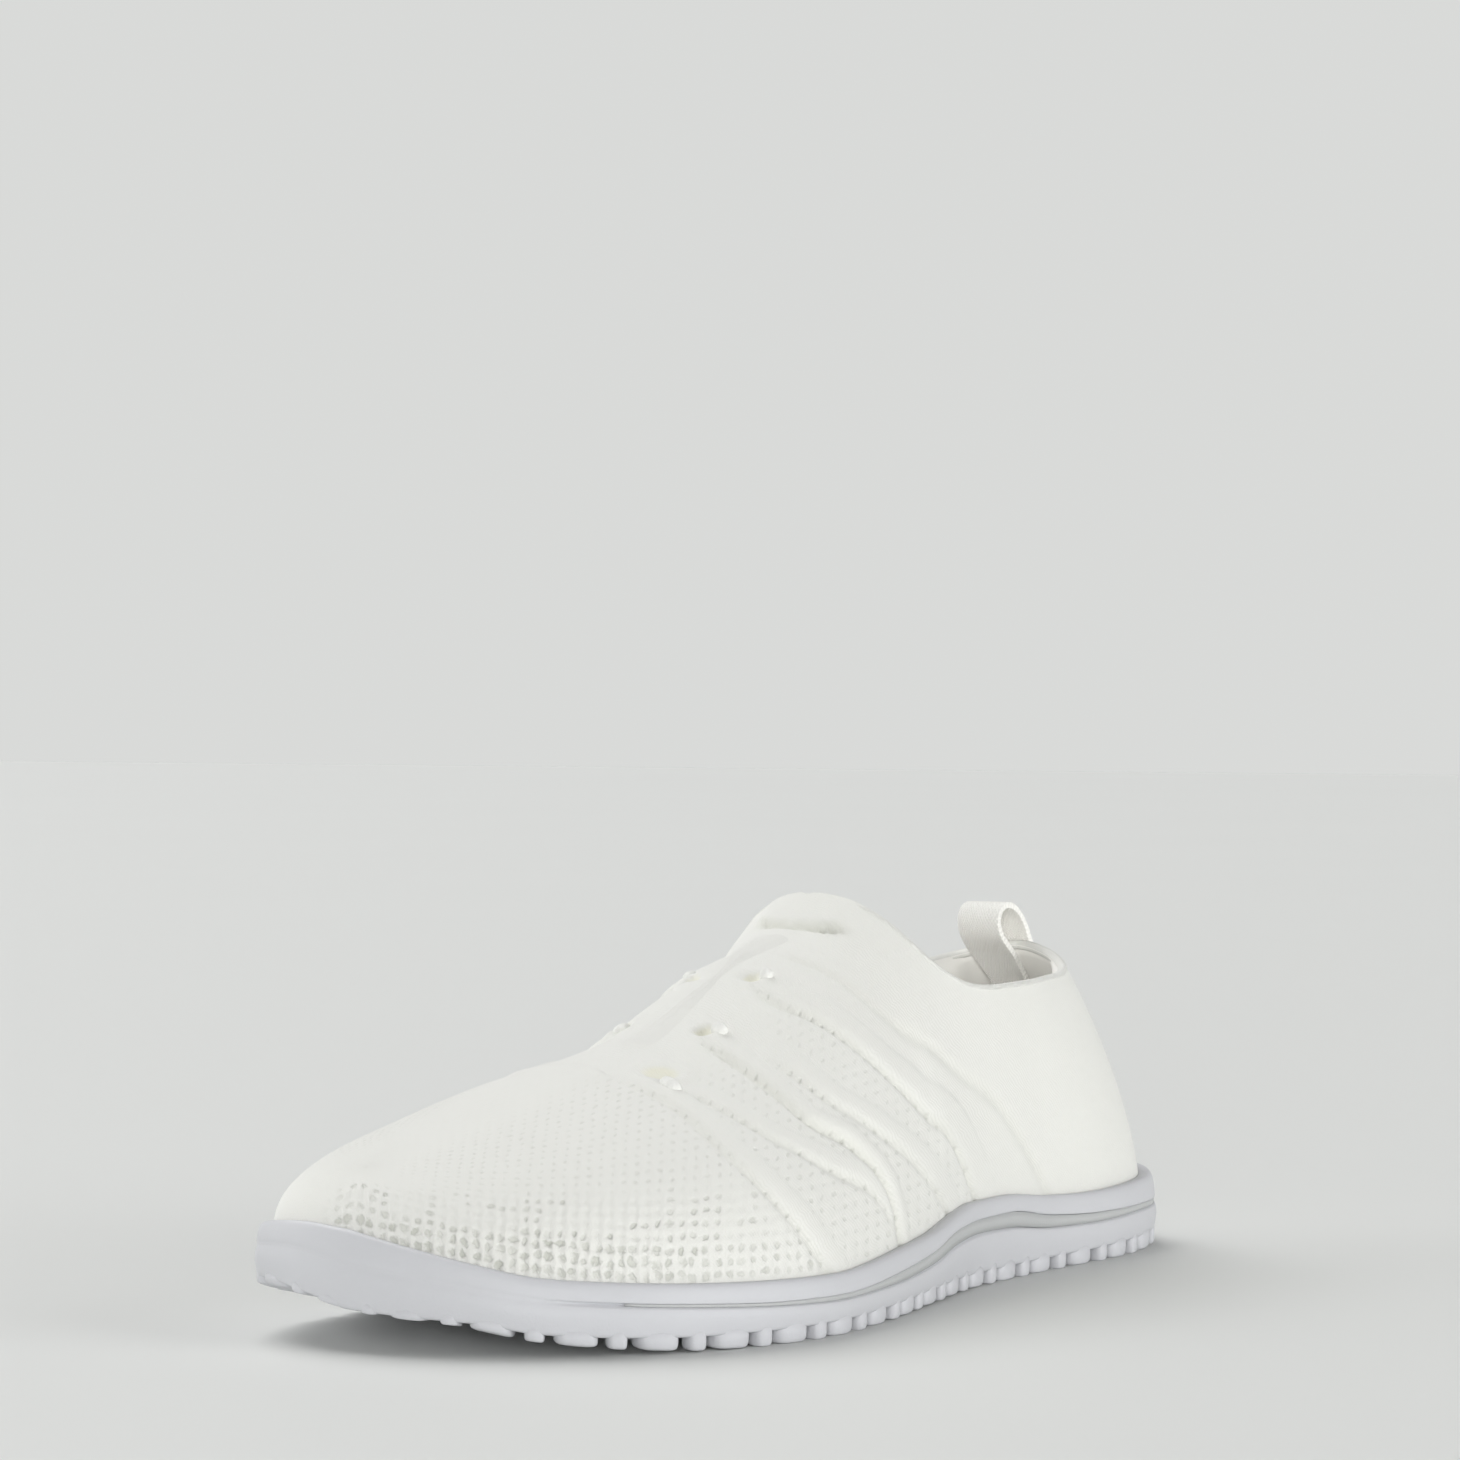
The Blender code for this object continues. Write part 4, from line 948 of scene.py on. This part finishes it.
panel_shares = np.linspace(PANEL[0][0], PANEL[-1][0], PANEL_SHARES + 1)
outer_edge, inner_edge, panel_curl, panel_thick = (smooth(panel_shares, PANEL, k)[None, :] for k in (1, 2, 3, 4))
half = np.linspace(0.0, 1.0, PANEL_ACROSS // 2 + 1)[:, None]
panel_share = np.broadcast_to(panel_shares, (len(half), PANEL_SHARES + 1))
outer_rise, inner_rise = (edge + (1.0 - edge) * half for edge in (outer_edge, inner_edge))
curl_outer, curl_inner = panel_curl * half / 2, panel_curl * (1.0 - half / 2)
panel_low = panel_layer(0.0, 0.0)
side_far = np.minimum(*(norm(panel_low - edge) for edge in (panel_low[:1], panel_low[-1:])))
ease = (soft_step(0.0, PANEL_SIDE_EASE, side_far)
        * soft_step(0.0, PANEL_FRONT_EASE, (PANEL[-1][0] - panel_shares) * FOOT_LINE)
        * soft_step(0.0, PANEL_REAR_EASE, (panel_shares - PANEL[0][0]) * FOOT_LINE))
panel_lift = (panel_thick + PANEL_SINK) * ease
panel_high = panel_layer(panel_lift[:len(half)], panel_lift[:len(half) - 2:-1])
panel_across = np.linspace(0.0, PANEL_WIDTH, len(panel_low))[:, None]
panel_mesh = bmesh.new()
for layer in (panel_low, panel_high):
    lay_grid(layer, cell_marks(panel_across / PANEL_WALE, panel_shares * FOOT_LINE / PANEL_COURSE), panel_mesh)
close_ends(panel_mesh, 1e-5)
finish_piece("instep_flap", panel_mesh, white_knit, "knit", "instep_panel", merge=1e-5)

# Lace runs. Short lengths of round braided cord that come out of the eyelets and go under the flap's edge.
# Only these ends show; both tips turn in.
LACE_RADIUS = 1.5
LACE_BEND, LACE_SINK = 0.3, {1: 0.8, -1: 1.2}
LACE_STEPS, LACE_ROUND = 18, 14
# Side, share and rise at the panel, share and rise at the rib
LACES = (
    (1, 0.693, 0.776, 0.697, 0.715), (1, 0.611, 0.858, 0.613, 0.815), (1, 0.552, 0.885, 0.550, 0.845),
    (-1, 0.690, 0.740, 0.696, 0.665), (-1, 0.615, 0.850, 0.618, 0.785), (-1, 0.556, 0.880, 0.554, 0.820),
)


def read_cells(tree):
    """The places along and across a tape or cord, in its finish."""
    return add(tree, "SeparateXYZ", {0: add(tree, "Attribute", attribute_name="knit").outputs["Vector"]}).outputs


lace_cord, lace_tree, lace_shader = new_finish("lace_cord", (0.82, 0.82, 0.79), 0.95, Specular_IOR_Level=0.1)
lace_cell = read_cells(lace_tree)
lace_twist = [calc(lace_tree, "SINE", calc(lace_tree, "MULTIPLY_ADD", lace_cell[0], lean,
                                           calc(lace_tree, "MULTIPLY", lace_cell[1], math.tau * 2)))
              for lean in (3.0, -3.0)]
lace_braid = calc(lace_tree, "MAXIMUM", *lace_twist)
use_colours(lace_tree, lace_shader, ramp(lace_tree, lace_braid, 0.0, 0.8), (0.80, 0.80, 0.77), (0.84, 0.84, 0.81))
use_bump(lace_tree, lace_shader, lace_braid, 0.15, 0.0002)
for number, (side, share_a, rise_a, share_b, rise_b) in enumerate(LACES):
    way = np.linspace(0.0, 1.0, LACE_STEPS + 1)
    share, rise = share_a + (share_b - share_a) * way, rise_a + (rise_b - rise_a) * way
    bend = np.sin(way * math.pi) ** LACE_BEND
    middle = upper_point(side, share, rise, LACE_RADIUS * (bend - LACE_SINK[side]))
    out = upper_normal(side, share, rise)
    beside = np.cross(unit(np.gradient(middle, axis=0)), out)
    ends = np.sqrt(np.clip(1.0 - (np.abs(way - 0.5) * 2.0) ** 8, 0.0, 1.0))[:, None] * LACE_RADIUS
    lace_mesh = lay_grid(round_rows(middle, out * ends, beside * ends, LACE_ROUND),
                          cell_marks(distances(middle), np.linspace(0.0, 1.0, LACE_ROUND + 1)[:, None]))
    lace_name = f"{'outer' if side > 0 else 'inner'}_{number % 3 + 1}"
    finish_piece(f"lace_run_{lace_name}", lace_mesh, lace_cord, "lace", f"lace_{lace_name}")

# Pull loop. A strap of woven tape sewn to the outside and the inside of the heel, with a round bend over the collar
# that leans forward.
LOOP_THICKNESS, LOOP_WIDTH, LOOP_LENGTH = 1.4, 11.0, 46.0
LOOP_PLAY = 2.5 * GAP
LOOP_STEPS, LOOP_COLUMNS, LOOP_PASSES = 60, 17, 6
# Lines of the tape: share of the foot line, inner side below zero; heights of the outside leg
LOOP_SHARES = (-0.042, -0.029, -0.016, -0.003, 0.010)
LOOP_HEIGHTS = (53.0, 59.0, 64.8)
# Bend past the top of the outside leg: forward, up, how far it has straightened
LOOP = (
    (1.2, 4.0, 0.6),
    (4.2, 7.6, 1.0),
    (8.4, 9.2, 1.0),
    (12.2, 8.0, 1.0),
    (13.2, 4.6, 1.0),
    (11.0, 1.4, 1.0),
    (7.4, -1.2, 0.7),
)
loop_tape, loop_tree, loop_shader = new_finish("loop_tape", (0.74, 0.73, 0.69), 0.85, Sheen_Weight=0.2)
loop_cell = read_cells(loop_tree)
loop_weft = calc(loop_tree, "SINE", calc(loop_tree, "MULTIPLY", loop_cell[1], math.tau / 0.9))
loop_warp = calc(loop_tree, "SINE", calc(loop_tree, "MULTIPLY", loop_cell[0], math.tau / 0.7))
loop_weave = calc(loop_tree, "MULTIPLY", loop_weft, loop_warp)
use_colours(loop_tree, loop_shader, ramp(loop_tree, loop_weave, -1.0, 1.0), (0.90, 0.89, 0.85), (0.94, 0.93, 0.89))
use_bump(loop_tree, loop_shader, loop_weave, 0.5, 0.0002)


def rise_at(side, share, height):
    """Rise on the last where it reaches a height."""
    rises = np.linspace(0.0, 1.0, 201)
    return float(np.interp(height, last_point(side, share, rises)[:, 2], rises))


loop_lines = []
for place_round in LOOP_SHARES:
    side, share = (1 if place_round > 0.0 else -1), abs(place_round)
    levels = [rise_at(side, share, height) for height in LOOP_HEIGHTS]
    outside = [upper_point(side, share, rise, GAP + LOOP_THICKNESS / 2) for rise in levels]
    inside = [upper_point(side, share, rise, -WALL - LOOP_PLAY - LOOP_THICKNESS / 2) for rise in levels[1::-1]]
    loop_lines.append((outside, inside))
level = np.mean([outside[-1][1] for outside, inside in loop_lines])
loop_rows = []
for outside, inside in loop_lines:
    across, along, up = outside[-1]
    bend = [(across, along + (level - along) * straight + forward, up + rise) for forward, rise, straight in LOOP]
    knots = np.array([*outside, *bend, *inside])
    far = distances(knots)
    steps = np.linspace(0.0, far[-1], LOOP_STEPS + 1)
    curve = np.stack([np.interp(steps, far, knots[:, k]) for k in range(3)], -1)
    for _ in range(LOOP_PASSES):
        curve[1:-1] = curve[1:-1] * 0.5 + (curve[:-2] + curve[2:]) * 0.25
    loop_rows.append(curve)
loop_rows = np.array(loop_rows)
spread = np.linspace(0.0, len(loop_rows) - 1, LOOP_COLUMNS)
first = np.minimum(spread.astype(int), len(loop_rows) - 2)
loop_rows = loop_rows[first] + (loop_rows[first + 1] - loop_rows[first]) * (spread - first)[:, None, None]
loop_mesh = lay_grid(loop_rows, cell_marks(np.linspace(0.0, LOOP_WIDTH, LOOP_COLUMNS)[:, None],
                                            np.linspace(0.0, LOOP_LENGTH, LOOP_STEPS + 1)))
loop = finish_piece("heel_loop", loop_mesh, loop_tape, "webbing", "pull_loop")
strap = loop.modifiers.new("strap", "SOLIDIFY")
strap.thickness = LOOP_THICKNESS * 0.001
strap.offset = 0.0
edge_round = loop.modifiers.new("edge_round", "BEVEL")
edge_round.width = 0.0004
edge_round.segments = 2

# Floor and light. A pale seamless sheet that the shoe stands on, under soft light from above, in a bright room all
# round.
FLOOR_HALF, FLOOR_PARTS = 6.0, 8
ROOM_LOW, ROOM_HIGH, ROOM_TURN = (0.694, 0.702, 0.690), (0.11, 0.111, 0.11), (0.13, 0.50)
# Lamps: strength, spread, height above the level, turn about the upright, in degrees
LAMPS = (
    ("overhead", 1.95, 45.0, 52.0, 248.0), ("left", 0.8, 50.0, 18.0, 294.0), ("front", 1.44, 24.0, 6.0, 32.0),
    ("side", 1.4, 40.0, 15.0, 102.0),
)
floor_sheet, floor_tree, floor_shader = new_finish("floor_sheet", (0.770, 0.780, 0.765), 0.5, Specular_IOR_Level=0.2)
floor_cloud = noise(floor_tree, add(floor_tree, "TexCoord").outputs["Object"], 3.0)[0]
use_colours(floor_tree, floor_shader, floor_cloud, (0.775, 0.785, 0.770), (0.765, 0.775, 0.760))
floor_mesh = bmesh.new()
bmesh.ops.create_grid(floor_mesh, x_segments=FLOOR_PARTS, y_segments=FLOOR_PARTS, size=FLOOR_HALF)
floor = put_mesh("floor", floor_mesh, floor_sheet)

world = bpy.data.worlds.new("room")
world.use_nodes = True
room = world.node_tree
look = add(room, "SeparateXYZ", {0: add(room, "TexCoord").outputs["Generated"]}).outputs[2]
room_colour = blend_colours(room, ramp(room, look, *ROOM_TURN), ROOM_LOW, ROOM_HIGH)
room.links.new(room_colour, room.nodes["Background"].inputs["Color"])
bpy.context.scene.world = world
bpy.context.scene.view_settings.view_transform = "Standard"
for name, energy, spread, height, turn in LAMPS:
    lamp_data = bpy.data.lights.new(name, "SUN")
    lamp_data.energy = energy
    lamp_data.angle = math.radians(spread)
    lamp = put(name, lamp_data)
    lamp.rotation_euler = math.radians(90.0 - height), 0.0, math.radians(turn)
